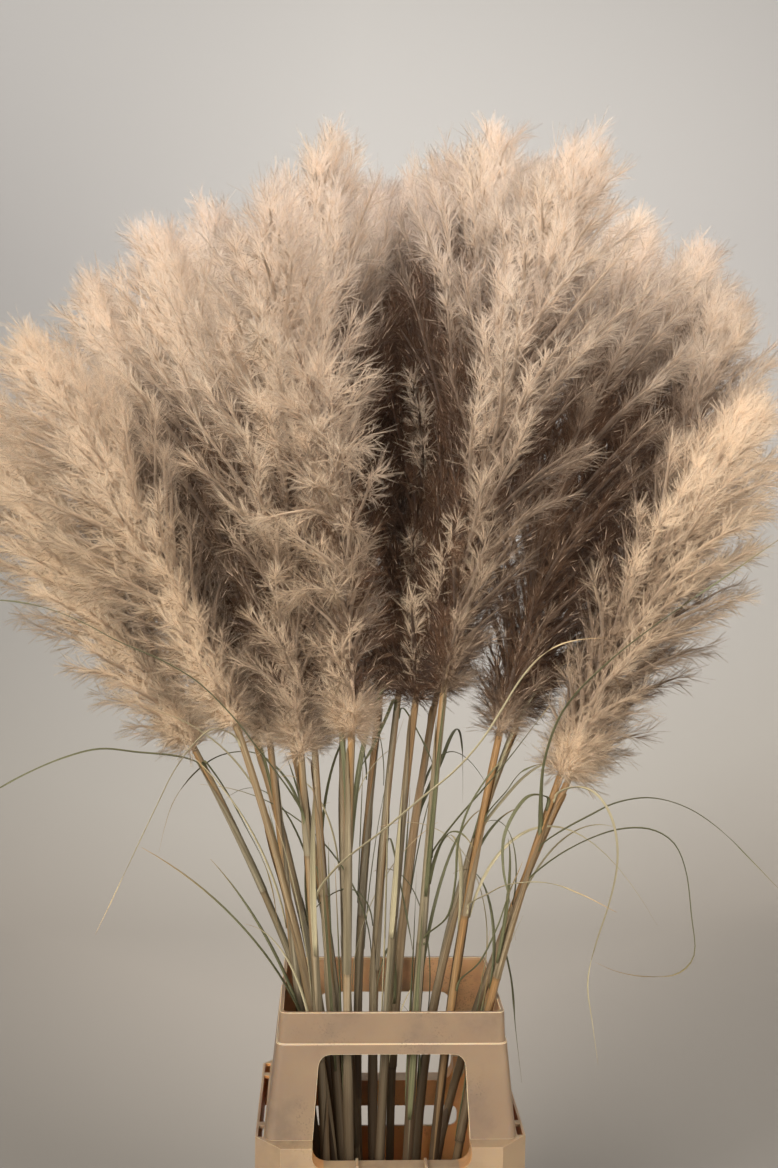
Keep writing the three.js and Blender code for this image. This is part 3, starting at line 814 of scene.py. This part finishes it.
# ---- Plumes


# Where each plume's axis ends, in the order of the culms.
TIPS = [
    (-0.482, 0.020, 1.060), (-0.360, -0.130, 1.070), (-0.250, -0.030, 1.195),
    (-0.330, 0.070, 1.160), (-0.210, 0.160, 1.260), (-0.120, -0.220, 1.195),
    (-0.075, -0.060, 1.285), (-0.085, -0.241, 1.040), (-0.020, 0.120, 1.280),
    (0.035, 0.252, 1.325), (0.065, 0.060, 1.300), (0.095, -0.070, 1.290),
    (0.180, 0.230, 1.335), (0.160, -0.190, 1.250), (0.250, -0.005, 1.220),
    (0.362, 0.168, 1.230), (0.340, -0.120, 1.030), (0.361, 0.060, 1.160),
]

PLUME = {
    "bow": 0.45,  # share of the axis that follows its culm before it leans over
    "branches": 120,
    "points": 80,  # of the axis
    "steps": 12,  # of the middle line of a branch
    "first": 0.004,  # along the axis, as a share of its length
    "last": 0.89,
    "crowding": 1.15,  # above 1, the branches stand closer together low on the axis
    "length": (0.1, 0.3, 0.34, 0.25, 0.08),  # of the axis, from the lowest branch to the highest
    "angle": (30, 26, 24, 18, 11),  # degrees between branch and axis
    "hang": 14,  # degrees more for a branch under a leaning axis
    "droop": (0.12, 2.3),  # how far, as a share of a branch, and how much of it near the end
    "arch": 1.2,  # above 1, a branch starts out along the axis
    "core": (0.6 * MM, 3, 3),  # radius, sides and rows of a branch
    "spine": (3.4 * MM, 8, 16),  # the same of the axis
    "neck": 0.16,  # share of the axis that is as brown and thick as the culm
}

TWIG = {
    "fewest": 5,  # on a branch
    "spacing": 8.8 * MM,  # along a branch
    "length": (32 * MM, 16 * MM),  # at a branch's root and tip
    "angle": (24, 12),
    "hang": 0.08,
    "tufts": (12, 19),  # on a twig deep in the bunch, and on one that lies open
    "husk": (11 * MM, 0.8 * MM),  # length and width of the brown husk at its end
}

RUFF = {
    "twigs": 110,
    "up_to": 0.16,  # share of the axis
    "angle": (25, 75),
    "length": (12 * MM, 30 * MM),
    "hang": 0.15,
}

# The matted down that fills a tail under its hairs.
DOWN = {
    "sides": 6,
    "rings": (0.12, 0.3, 0.5, 0.7, 0.88),
    "steps": 9,  # places along the tail where its twigs say how dark it is
    "radius": (0.8 * MM, 1.9 * MM, 2.3 * MM, 2.1 * MM, 1.5 * MM, 0.3 * MM),  # along the tail
}

HAIR = {
    "length": 21 * MM,
    "angle": 29,
    "width": 3.1 * MM,  # of a tuft's outer end
    "hang": 0.06,
}


def axis_line(number):
    """A plume's axis: it carries the culm's line on, and leans over towards its tip."""
    culm = culm_line(number)
    along = unit(culm[-1] - culm[-2])
    start = culm[-1]
    tip = np.array(TIPS[number - 1])
    reach = np.linalg.norm(tip - start)
    lead = unit(along + unit(tip - start))
    bend = start + lead * reach * PLUME["bow"]
    leaving = start + along * reach * PLUME["bow"] * 2 / 3
    return bent(PLUME["points"], start, leaving, tip + (bend - tip) * 2 / 3, tip)


def branch_lines(rng, axis, count, curl):
    """The middle lines of a plume's branches, the way each leaves the axis, and their reach."""
    rise = ((np.arange(count) + 0.5) / count) ** PLUME["crowding"]
    at = (PLUME["first"] + (PLUME["last"] - PLUME["first"]) * rise) * (len(axis) - 1)
    root = between(axis, at)
    along = unit(between(directions(axis), at))
    side = square_to(np.broadcast_to(X_AXIS, along.shape), along)
    face = np.cross(along, side)
    turn = np.arange(count) * GOLDEN_ANGLE + rng.uniform(0, 6.28) + rng.normal(0, 0.25, count)
    out = side * np.cos(turn)[:, None] + face * np.sin(turn)[:, None]
    reach = length_of(axis) * table_at(PLUME["length"], rise) * rng.uniform(0.84, 1.12, count)
    hang = PLUME["hang"] * np.maximum(0, -out[:, 2])
    angle = table_at(PLUME["angle"], rise) * rng.uniform(0.8, 1.2, count) + hang
    angle = np.radians(angle)[:, None, None]
    t = np.linspace(0, 1, PLUME["steps"])[None, :, None]
    reach = reach[:, None, None]
    forward = along[:, None] * np.cos(angle) * t
    outward = out[:, None] * np.sin(angle) * t ** (PLUME["arch"] + curl)
    lines = root[:, None] + reach * (forward + outward)
    flat = np.sqrt(1 - np.minimum(1, (along[:, 2:] ** 2)))[:, None]
    droop, late = PLUME["droop"]
    lines -= UP * reach * droop * (0.35 + flat) * t**late
    sway = rng.normal(0, 0.025 + 0.06 * curl, (count, 1, 3))
    lines += sway * reach * np.sin(t * math.pi * 1.3) * t
    return lines, out, reach[:, 0, 0]


def one_face(*places):
    """The corners of a flat face, X across and Z along."""
    bm = bmesh.new()
    face = bm.faces.new([bm.verts.new(place) for place in places])
    shape = np.array([corner.co for corner in face.verts])
    bm.free()
    return shape


NEEDLE = one_face((-0.5, 0, 0), (0.5, 0, 0), (0, 0, 1))
TUFT = one_face((0, 0, 0), (0.5, 0, 1), (-0.5, 0, 1))


def many(blade, root, way, across, long, wide):
    """Many copies of a face: one at each root, along its way, with its width across it."""
    return (
        root[:, None]
        + blade[None, :, :1] * wide[:, None, None] * across[:, None]
        + blade[None, :, 2:] * long[:, None, None] * way[:, None]
    )


def fan_out(rng, ahead, out, angle):
    """Directions that stand off from a line by an angle, all the way round it."""
    first = square_to(out, ahead)
    second = np.cross(ahead, first)
    turn = rng.uniform(0, 2 * math.pi, len(ahead))[:, None]
    radial = first * np.cos(turn) + second * np.sin(turn)
    angle = angle[:, None]
    return unit(ahead * np.cos(angle) + radial * np.sin(angle)), radial


def twigs(rng, lines, out, reach, fluff):
    """The short twigs of all branches, closer together towards a branch's end."""
    number = np.maximum(TWIG["fewest"], (reach / TWIG["spacing"]).astype(int))
    own = np.repeat(np.arange(len(lines)), number)
    t = np.concatenate([(np.arange(n) + rng.uniform(0, 1, n)) / n for n in number])
    t = 0.04 + 0.93 * t**0.85
    at = t * (lines.shape[1] - 1)
    low = at.astype(int)
    step = lines[own, low + 1] - lines[own, low]
    ahead = unit(step)
    spray = table_at(TWIG["angle"], t) * rng.uniform(0.4, 1.6, len(own)) * fluff
    way, off = fan_out(rng, ahead, out[own], np.radians(spray))
    long = table_at(TWIG["length"], t) * rng.uniform(0.6, 1.25, len(own)) * fluff
    return {
        "root": lines[own, low] + step * (at - low)[:, None],
        "way": unit(way - UP * TWIG["hang"]),
        "long": long,
        "branch": own,
        "along": t,
        "soft": unit(0.3 * off + out[own]),  # which way the tail and the plume bulge here
    }


def tufts(rng, twig, light):
    """The tufts of silky hairs of all twigs, more of them where the plume lies open: their
    corners, their soft normals and their own twig."""
    count = np.interp(light, (SHADE["deep"], SHADE["open"]), TWIG["tufts"])
    own = np.repeat(np.arange(len(light)), (count + rng.uniform(0, 1, len(light))).astype(int))
    total = len(own)
    way, soft = twig["way"][own], twig["soft"][own]
    start = twig["root"][own] + way * (twig["long"][own] * rng.uniform(0.05, 1, total))[:, None]
    angle = np.radians(HAIR["angle"] * rng.uniform(0.2, 1.8, total))
    hair, radial = fan_out(rng, way, soft, angle)
    hair = unit(hair - UP * HAIR["hang"])
    facing = square_to(0.7 * radial + 0.7 * soft + rng.normal(0, 0.25, (total, 3)), hair)
    across = np.cross(hair, facing)
    length = HAIR["length"] * rng.uniform(0.6, 1.3, total)
    wide = HAIR["width"] * rng.uniform(0.7, 1.25, total) * (1.15 - 0.45 * twig["along"][own])
    corners = many(TUFT, start, hair, across, length, wide)
    normals = unit(0.15 * facing + 0.15 * radial + soft)
    return corners, np.repeat(normals[:, None], 3, axis=1), own


def grow_plume(number):
    """A plume's axis, branches and twigs, before its hair."""
    rng = np.random.default_rng(100 + number)
    style = STYLE | STYLES.get(number, {})
    axis = axis_line(number)
    lines, out, reach = branch_lines(rng, axis, style["branches"], style["curl"])
    lines, reach = kept_out_of_hollow(lines, reach)
    for root, tip in style["tails"]:
        line, tail_out, tail_reach = single_tail(axis, root, np.array(tip))
        lines = np.concatenate([lines, line[None]])
        out = np.concatenate([out, tail_out[None]])
        reach = np.append(reach, tail_reach)
    twig = with_ruff(rng, twigs(rng, lines, out, reach, style["fluff"]), axis)
    return {"rng": rng, "style": style, "axis": axis, "lines": lines, "twig": twig}


def with_ruff(rng, twig, axis):
    """Adds the short twigs that hide the neck of a plume."""
    count = RUFF["twigs"]
    at = rng.uniform(0, RUFF["up_to"], count) ** 1.3 * (len(axis) - 1)
    ahead = unit(between(directions(axis), at))
    angle = np.radians(rng.uniform(*RUFF["angle"], count))
    way, off = fan_out(rng, ahead, np.broadcast_to(X_AXIS, ahead.shape), angle)
    ruff = {
        "root": between(axis, at),
        "way": unit(way - UP * RUFF["hang"]),
        "long": rng.uniform(*RUFF["length"], count),
        "branch": rng.integers(0, 6, count),
        "along": rng.uniform(0.4, 1.0, count),
        "soft": off,
    }
    return {key: np.concatenate([twig[key], ruff[key]]) for key in twig}


# The bunch stands open in front of its dark middle: a place, and half the width in each direction.
HOLLOW = ((0.006, -0.17, 0.9), (0.042, 0.2, 0.2))

# Where the bunch gets painted shade all over: the same, and how much of the deep colour is
# mixed in as painted shade. It is the full share within a third of the way to the edge.
GLOOM = [
    ((0.006, -0.04, 0.88), (0.064, 0.3, 0.27), 1.3),
    ((0.205, 0.05, 0.93), (0.07, 0.25, 0.22), 0.5),
    ((0.066, 0.02, 1.12), (0.11, 0.25, 0.13), 0.3),
    ((-0.315, 0.0, 0.93), (0.04, 0.25, 0.12), 0.35),
    ((-0.25, 0.0, 0.8), (0.035, 0.25, 0.13), 0.25),
]


def how_far_out(places, centre, half):
    """0 at the middle of an egg-shaped room and 1 on its wall."""
    return np.sqrt((((places - np.array(centre)) / half) ** 2).sum(-1))


def kept_out_of_hollow(lines, reach):
    """Branches that would cross the hollow end before it."""
    steps = lines.shape[1]
    for index in range(len(lines)):
        inside = np.flatnonzero(how_far_out(lines[index], *HOLLOW) < 1)
        if len(inside):
            last = max(2, inside[0] - 1)
            lines[index] = between(lines[index], np.linspace(0, last, steps))
            reach[index] *= last / (steps - 1)
    return lines, reach


def ends_of(twig):
    return twig["root"] + twig["way"] * twig["long"][:, None]


def gloom(twig):
    """How much painted shade, in the deep colour, the twigs get from where they are."""
    ends = ends_of(twig)
    rooms = ((share, how_far_out(ends, centre, half)) for centre, half, share in GLOOM)
    return sum(share * np.clip(1.5 * (1 - far), 0, 1) for share, far in rooms)


def single_tail(axis, root, tip):
    """A branch that leaves the axis at a share of its length and ends at a known place."""
    start = between(axis, np.array([root * (len(axis) - 1)]))[0]
    ahead = unit(axis[5] - axis[0])
    reach = np.linalg.norm(tip - start)
    through = start + (tip - start) * 0.5 + ahead * reach * 0.06
    return bent_once(start, through, tip, PLUME["steps"]), square_to(tip - start, ahead), reach


# A row of cells hides most of the light once it holds this many twigs. A twig that gets the
# share named open counts as lying in the open, and one that gets the share named deep is hidden.
# The light found this way is painted into the colour of the hair and the down as shade; the lamps
# don't cast it.
SHADE = {
    "cell": 25 * MM,
    "thick": 14,
    "softened": 3,  # times
    "open": 0.5,
    "deep": 0.2,
    # Where the light comes from: an axis, whether from its far end, and a share of the light.
    "ways": [(0, False, 0.36), (0, True, 0.06), (1, False, 0.2), (1, True, 0.08), (2, True, 0.3)],
}


def softened(values):
    """A grid of values, each averaged with its neighbours."""
    for axis in range(3):
        padded = np.concatenate([values.take([0], axis), values, values.take([-1], axis)], axis)
        count = values.shape[axis]
        before, after = (padded.take(range(k, k + count), axis) for k in (0, 2))
        values = (before + 2 * values + after) / 4
    return values


def read_grid(grid, places):
    """Values of a grid at places between its points."""
    low = np.clip(places.astype(int), 0, np.array(grid.shape) - 2)
    share = np.clip(places - low, 0, 1)
    total = 0
    for corner in np.ndindex(2, 2, 2):
        weight = np.where(corner, share, 1 - share).prod(1)
        total = total + weight * grid[tuple((low + corner).T)]
    return total


def open_share(plumes):
    """For each twig of each plume, how openly it lies: the light that reaches it from the left,
    the right, the front, the back and above through the other twigs, from 0 to 1."""
    ends = [ends_of(plume["twig"]) for plume in plumes]
    every = np.vstack(ends)
    places = (every - every.min(0)) / SHADE["cell"]
    crowd = np.zeros(places.astype(int).max(0) + 2)
    np.add.at(crowd, tuple(places.astype(int).T), 1)
    light = np.zeros_like(crowd)
    for axis, from_far, part in SHADE["ways"]:
        seen = np.flip(crowd, axis) if from_far else crowd
        hidden = np.cumsum(seen, axis) - seen
        hidden = np.flip(hidden, axis) if from_far else hidden
        light += part * np.exp(-hidden / SHADE["thick"])
    counts = np.cumsum([len(e) for e in ends])[:-1]
    for _ in range(SHADE["softened"]):
        light = softened(light)
    return np.split(read_grid(light, places - 0.5), counts)


def hidden_share(light):
    """From 1 for a twig that is hidden to 0 for one that lies open."""
    return np.interp(light, (SHADE["deep"], SHADE["open"]), (1, 0))


# What makes a hair or the down darker, and by how much: random tone, browner branch feet,
# and painted shade where the twigs lie hidden from the light.
TONE_AND_PAINTED_SHADE = {
    "random": (0.5, 0.25, 0.15),  # at most, for each branch, each twig and each tuft
    "tuft": {"random": 0.16, "hidden": 0.95, "most": 0.96},
    "single_tail": 0.12,  # of the painted shade of what hides it
    # The down gets a little painted shade everywhere, as it lies under the hair, and more where it
    # is hidden.
    "down": {"always": 0.06, "hidden": 0.85},
    "inner": 1.7,  # a branch is deeper at its foot, and evens out at 1 / this of its length
}


def plume_down(number, plume, light, material):
    """The down of a plume's tails. It gets painted shade, tail by tail, as dark as the twigs
    around it.
    """
    rng, twig, style = plume["rng"], plume["twig"], plume["style"]
    steps = np.linspace(0, 1, DOWN["steps"])
    hidden = hidden_share(light) + gloom(twig)
    pattern = rod(DOWN["sides"], DOWN["rings"])
    bm = bmesh.new()
    bm.verts.layers.float.new("depth")
    bm.loops.layers.uv.new("UVMap")
    for index, line in enumerate(plume["lines"]):
        own = twig["branch"] == index
        order = np.argsort(twig["along"][own])
        hidden_at = np.interp(steps, twig["along"][own][order], hidden[own][order])
        tail = pattern.copy()
        depth = tail.verts.layers.float.new("depth")
        offset = rng.uniform(0, 50)
        length = np.linalg.norm(line[-1] - line[0])
        map_uv(tail, lambda co: (offset + abs(math.atan2(co.y, co.x)) / math.pi, co.z * length))
        swell = rng.uniform(0.75, 1.15)
        for vertex in tail.verts:
            t = vertex.co.z
            # Painted shade where the tail lies hidden from the light and in the gloom, with the
            # browner branch foot and the plume's painted shade from its style.
            here = TONE_AND_PAINTED_SHADE["down"]["hidden"] * min(1.0, table_at(hidden_at, t))
            inner = style["contrast"] * max(0, 1 - TONE_AND_PAINTED_SHADE["inner"] * t)
            vertex[depth] = clamped(TONE_AND_PAINTED_SHADE["down"]["always"] + here + inner + style["dark"])
            widen(vertex, swell * table_at(DOWN["radius"], t) * rng.uniform(0.8, 1.2))
        lay_along(tail, line, carried_side(line, X_AXIS))
        join(bm, tail)
    piece = keep_as_object(bm, f"plume_{number:02d}_down", material)
    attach(piece, "root")


def plume_piece(number, plume, light, material):
    """The silk of a plume."""
    rng, twig, style = plume["rng"], plume["twig"], plume["style"]
    corners, normals, own = tufts(rng, twig, light)
    by_branch, by_twig, by_tuft = (
        rng.uniform(0, span, count)
        for span, count in zip(TONE_AND_PAINTED_SHADE["random"], (len(plume["lines"]), len(light), len(own)))
    )
    # Painted shade: twigs hidden from the light and in the gloom get the deep colour, with random
    # tone, browner branch feet and the plume's painted shade from its style; the single tails get
    # a little painted shade only.
    tone = TONE_AND_PAINTED_SHADE["tuft"]["random"] * ((by_branch[twig["branch"]] + by_twig)[own] + by_tuft)
    inner = style["contrast"] * np.clip(1 - TONE_AND_PAINTED_SHADE["inner"] * twig["along"][own], 0, 1)
    hidden = (TONE_AND_PAINTED_SHADE["tuft"]["hidden"] * hidden_share(light) + gloom(twig))[own]
    apart = twig["branch"][own] >= style["branches"]  # the single tails come after the branches
    tail = TONE_AND_PAINTED_SHADE["single_tail"] * hidden
    depth = np.where(apart, tail, inner + tone + hidden + style["dark"])
    mesh = triangle_mesh(f"plume_{number:02d}_silk", corners, normals)
    shown = np.repeat(np.clip(depth, 0, TONE_AND_PAINTED_SHADE["tuft"]["most"]), 3).astype(np.float32)
    mesh.attributes.new("depth", "FLOAT", "POINT").data.foreach_set("value", shown)
    strand = rng.uniform(0, 400, len(own))[:, None] + np.array([0.0, 0.5, -0.5])
    uv = np.stack([strand.ravel(), np.tile([0.0, 1.0, 1.0], len(own))], axis=1)
    mesh.uv_layers.new(name="UVMap").data.foreach_set("uv", uv.astype(np.float32).ravel())
    mesh.materials.append(material)
    piece = in_scene(mesh.name, mesh)
    piece.visible_shadow = False  # silk is so fine that the down under it throws the shadow
    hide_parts(f"plume_{number:02d}")
    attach(piece, "root")


def plume_stalks(number, plume, material):
    """The plume's axis, the thin stalks of its branches, and the husks at its twigs' ends."""
    bm = bmesh.new()
    bm.verts.layers.float.new("warm")
    radius, sides, rows = PLUME["spine"]
    add_stalk(bm, plume["axis"], radius, sides, rows, PLUME["neck"])
    radius, sides, rows = PLUME["core"]
    for line in plume["lines"]:
        add_stalk(bm, line, radius, sides, rows)
    rng, way = plume["rng"], plume["twig"]["way"]
    across = square_to(rng.normal(0, 1, way.shape), way)
    husk_long, husk_wide = (size * rng.uniform(0.7, 1.2, len(way)) for size in TWIG["husk"])
    start = plume["twig"]["root"] + way * (plume["twig"]["long"] - 0.3 * husk_long)[:, None]
    for husk in many(NEEDLE, start, way, across, husk_long, husk_wide):
        bm.faces.new([bm.verts.new(place) for place in husk])
    piece = keep_as_object(bm, f"plume_{number:02d}_stalks", material)
    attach(piece, "root")


def add_stalk(bm, line, radius, sides, rows, neck=0.0):
    stalk = rod(sides, np.linspace(0, 1, rows + 1)[1:-1])
    brown = stalk.verts.layers.float.new("warm")
    for vertex in stalk.verts:
        taper = (1.02 - vertex.co.z) ** (2.2 if neck else 1.0)
        vertex[brown] = max(0.0, 1 - vertex.co.z / neck) if neck else 0.0
        widen(vertex, radius * taper)
    lay_along(stalk, line, carried_side(line, X_AXIS))
    join(bm, stalk)


def triangle_mesh(name, corners, normals):
    """A mesh of loose triangles, with a soft normal at each corner."""
    count = len(corners)
    mesh = bpy.data.meshes.new(name)
    mesh.vertices.add(3 * count)
    mesh.vertices.foreach_set("co", corners.astype(np.float32).ravel())
    mesh.loops.add(3 * count)
    mesh.loops.foreach_set("vertex_index", np.arange(3 * count, dtype=np.int32))
    mesh.polygons.add(count)
    mesh.polygons.foreach_set("loop_start", np.arange(0, 3 * count, 3, dtype=np.int32))
    mesh.update(calc_edges=True)
    mesh.normals_split_custom_set_from_vertices(normals.reshape(-1, 3))
    return mesh


# How single plumes differ: fewer, thicker and curlier tails, browner hair near the axis, painted
# shade over the whole plume (dark, which is painted light where it is below 0), and single tails
# that stand apart, each with the share of the axis where it starts and the place of its tip.
STYLE = {
    "branches": PLUME["branches"],
    "curl": 0.0,
    "fluff": 1.0,
    "dark": 0.0,
    "contrast": 0.05,
    "tails": [],
}
STYLES = {
    1: {"dark": -0.15},
    2: {"dark": -0.15},
    3: {"dark": -0.1},
    4: {"dark": -0.12},
    6: {"curl": 0.25, "fluff": 1.1},
    8: {"branches": 50, "curl": 0.85, "fluff": 1.35, "dark": -0.02, "contrast": 0.95},
    9: {"dark": 0.12},
    10: {"dark": 0.15},
    11: {
        "dark": 0.2,
        "tails": [
            (0.45, (0.009, -0.060, 1.034)),
            (0.4, (0.018, -0.050, 1.006)),
            (0.37, (0.022, -0.060, 0.971)),
            (0.22, (0.014, -0.070, 0.872)),
        ],
    },
    12: {
        "curl": 0.2,
        "tails": [(0.01, (0.048, -0.140, 0.888)), (0.0, (0.008, -0.130, 0.820))],
    },
    13: {"branches": 140, "dark": 0.1},
    15: {"dark": -0.05},
    16: {"branches": 150, "dark": 0.05},
    17: {"dark": -0.38},
    18: {"dark": 0.03},
}

# ---- Studio


# The backdrop's colour with painted shade, darker on the floor in front and towards the sides
# and lighter up the wall, each with its place on the way from the floor in front to the wall's
# top.
PAPER_SHADE = [
    (0.0, (0.2, 0.182, 0.158)),
    (0.09, (0.32, 0.29, 0.254)),
    (0.2, (0.345, 0.323, 0.29)),
    (0.38, (0.34, 0.325, 0.305)),
    (0.6, (0.45, 0.435, 0.42)),
    (0.88, (0.66, 0.645, 0.62)),
]

STUDIO = {
    "side": 4.0,
    "front": -3.0,
    "back": 2.6,
    "top": 4.5,
    "sweep": 1.2,  # radius of the curve from the floor into the wall
    "steps": 24,
    "climb": (-0.4, 0.45, 1),  # which way the paper's painted shade lightens, the same left and right
    "climb_end": 4.0,
    "air": (1.0, 0.97, 0.94),
    "air_light": 0.38,
}

# Place, target, size, power, colour and opening in degrees of each lamp.
LAMPS = {
    "key": ((-1.5, -2.0, 2.2), (-0.14, 0, 1.25), 2.4, 45, (1.0, 0.97, 0.93), 62),
    "wash": ((-1.8, 1.2, 2.5), (-1.2, 2.6, 1.6), 1.2, 10, (1.0, 0.98, 0.96), 180),
    "fill": ((1.9, -2.0, 1.4), (0, 0, 0.9), 1.4, 58, (1.0, 0.97, 0.95), 180),
    "top": ((0.3, 0.3, 2.9), (0, 0, 1.0), 1.6, 22, (1.0, 0.97, 0.94), 180),
}


def paper():
    material, tree, shader = new_material("studio paper")
    place, _ = place_and_height(tree)
    place = node(tree, "VectorMath", {"operation": "ABSOLUTE"}, n0=place).outputs[0]
    climb = node(tree, "VectorMath", {"operation": "DOT_PRODUCT"}, n0=place, n1=STUDIO["climb"])
    way = spread(tree, climb.outputs["Value"], 0.0, STUDIO["climb_end"])
    # Painted shade: the paper darkens towards the floor in front and towards the sides.
    ramp = node(tree, "ValToRGB", Fac=way)
    stops = ramp.color_ramp.elements
    for stop, (at, shade) in zip(stops, (PAPER_SHADE[0], PAPER_SHADE[-1])):
        stop.position, stop.color = at, (*shade, 1)
    for at, shade in PAPER_SHADE[1:-1]:
        stops.new(at).color = (*shade, 1)
    plug(tree, shader, Base_Color=ramp.outputs[0], Roughness=0.9)
    return material


def backdrop():
    """A sheet that runs along the floor and sweeps up into the wall."""
    side, back, sweep = -STUDIO["side"], STUDIO["back"], STUDIO["sweep"]
    profile = [(side, STUDIO["front"], 0)]
    for angle in np.linspace(0, math.pi / 2, STUDIO["steps"] + 1):
        y, z = back - sweep + sweep * math.sin(angle), sweep - sweep * math.cos(angle)
        profile.append((side, y, z))
    profile.append((side, back, STUDIO["top"]))
    bm = bmesh.new()
    verts = [bm.verts.new(place) for place in profile]
    edges = [bm.edges.new(pair) for pair in zip(verts, verts[1:])]
    grown = bmesh.ops.extrude_edge_only(bm, edges=edges)
    moved = [g for g in grown["geom"] if isinstance(g, bmesh.types.BMVert)]
    bmesh.ops.translate(bm, verts=moved, vec=(-2 * side, 0, 0))
    bmesh.ops.recalc_face_normals(bm, faces=bm.faces)
    keep_as_object(bm, "backdrop", paper())


def light(name, place, target, size, power, colour, opening):
    data = bpy.data.lights.new(name, "AREA")
    data.spread = math.radians(opening)
    data.size = size
    data.energy = power
    data.color = colour
    lamp = in_scene(name, data)
    lamp.location = place
    way = Vector(target) - Vector(place)
    lamp.rotation_euler = way.to_track_quat("-Z", "Y").to_euler()


def set_up_studio():
    backdrop()
    for name, settings in LAMPS.items():
        light(name, *settings)
    world = bpy.data.worlds.new("room")
    world.use_nodes = True
    air = world.node_tree.nodes["Background"]
    plug(world.node_tree, air, Color=STUDIO["air"], Strength=STUDIO["air_light"])
    bpy.context.scene.world = world


# ---- Putting it together


set_up_camera()
blotches = blotches_group()
fibres = fibre_group()
strands = strand_group()

# Painted highlight along the rounded edges of the bucket and collar.
EDGE_HIGHLIGHT = (0.6, 0.46, 0.3)
# The inside colours are painted glow of light that comes through the walls.
collar_cream = bucket_plastic(
    "collar plastic",
    plain=(0.27, 0.188, 0.11),
    patch=(0.185, 0.125, 0.082),
    edge=EDGE_HIGHLIGHT,
    inside=(0.5, 0.29, 0.14),
)
bucket_cream = bucket_plastic(
    "bucket plastic",
    plain=(0.38, 0.27, 0.155),
    patch=(0.26, 0.18, 0.115),
    edge=EDGE_HIGHLIGHT,
    inside=(0.55, 0.27, 0.1),
)
stem_skin = culm_skin(
    "dry culm",
    pale=(0.4, 0.355, 0.24),
    green=(0.12, 0.118, 0.07),
    warm=(0.34, 0.18, 0.06),
    dark=(0.055, 0.034, 0.017),
)
stalk_brown = culm_skin(
    "plume stalk",
    pale=(0.52, 0.39, 0.28),
    green=(0.46, 0.34, 0.24),
    warm=(0.17, 0.12, 0.06),
    dark=(0.3, 0.2, 0.13),
)
leaf_skins = {
    "leaf": blade_skin(
        "green-grey blade", (0.05, 0.05, 0.022), pale=(0.16, 0.15, 0.075), tip=(0.3, 0.19, 0.08)
    ),
    "dry_leaf": blade_skin(
        "straw blade", (0.25, 0.21, 0.12), pale=(0.38, 0.33, 0.21), tip=(0.36, 0.22, 0.1)
    ),
}
silk = plume_silk(
    "plume silk",
    root=(0.58, 0.43, 0.3),
    deep=(0.088, 0.041, 0.02),
    low=(0.63, 0.495, 0.345),
    tip=(0.65, 0.545, 0.44),
    rosy=(0.65, 0.55, 0.475),
)
down = plume_down_skin(
    "plume down",
    root=(0.45, 0.32, 0.215),
    deep=(0.08, 0.038, 0.019),
    low=(0.55, 0.42, 0.29),
    tip=(0.6, 0.49, 0.385),
)

moulding("bucket", "flower_bucket", bucket_cream)
moulding("collar", "bucket_collar", collar_cream)

plumes = [grow_plume(number) for number in range(1, len(TIPS) + 1)]
for number, (plume, light_share) in enumerate(zip(plumes, open_share(plumes)), start=1):
    culm_piece(number, stem_skin)
    plume_piece(number, plume, light_share, silk)
    plume_stalks(number, plume, stalk_brown)
    plume_down(number, plume, light_share, down)

for index, name in enumerate(sorted(n for n in frame["nodes"] if n.startswith("leaf_"))):
    blade_piece(name, index, leaf_skins)
for number in range(2, len(TIPS) + 1):
    kind = "leaf" if number % 3 else "dry_leaf"
    count = 5 if number > 11 and kind == "leaf" else 3
    wisps(number, count, leaf_skins[kind], kind)

set_up_studio()
bpy.context.scene.view_settings.view_transform = "Standard"
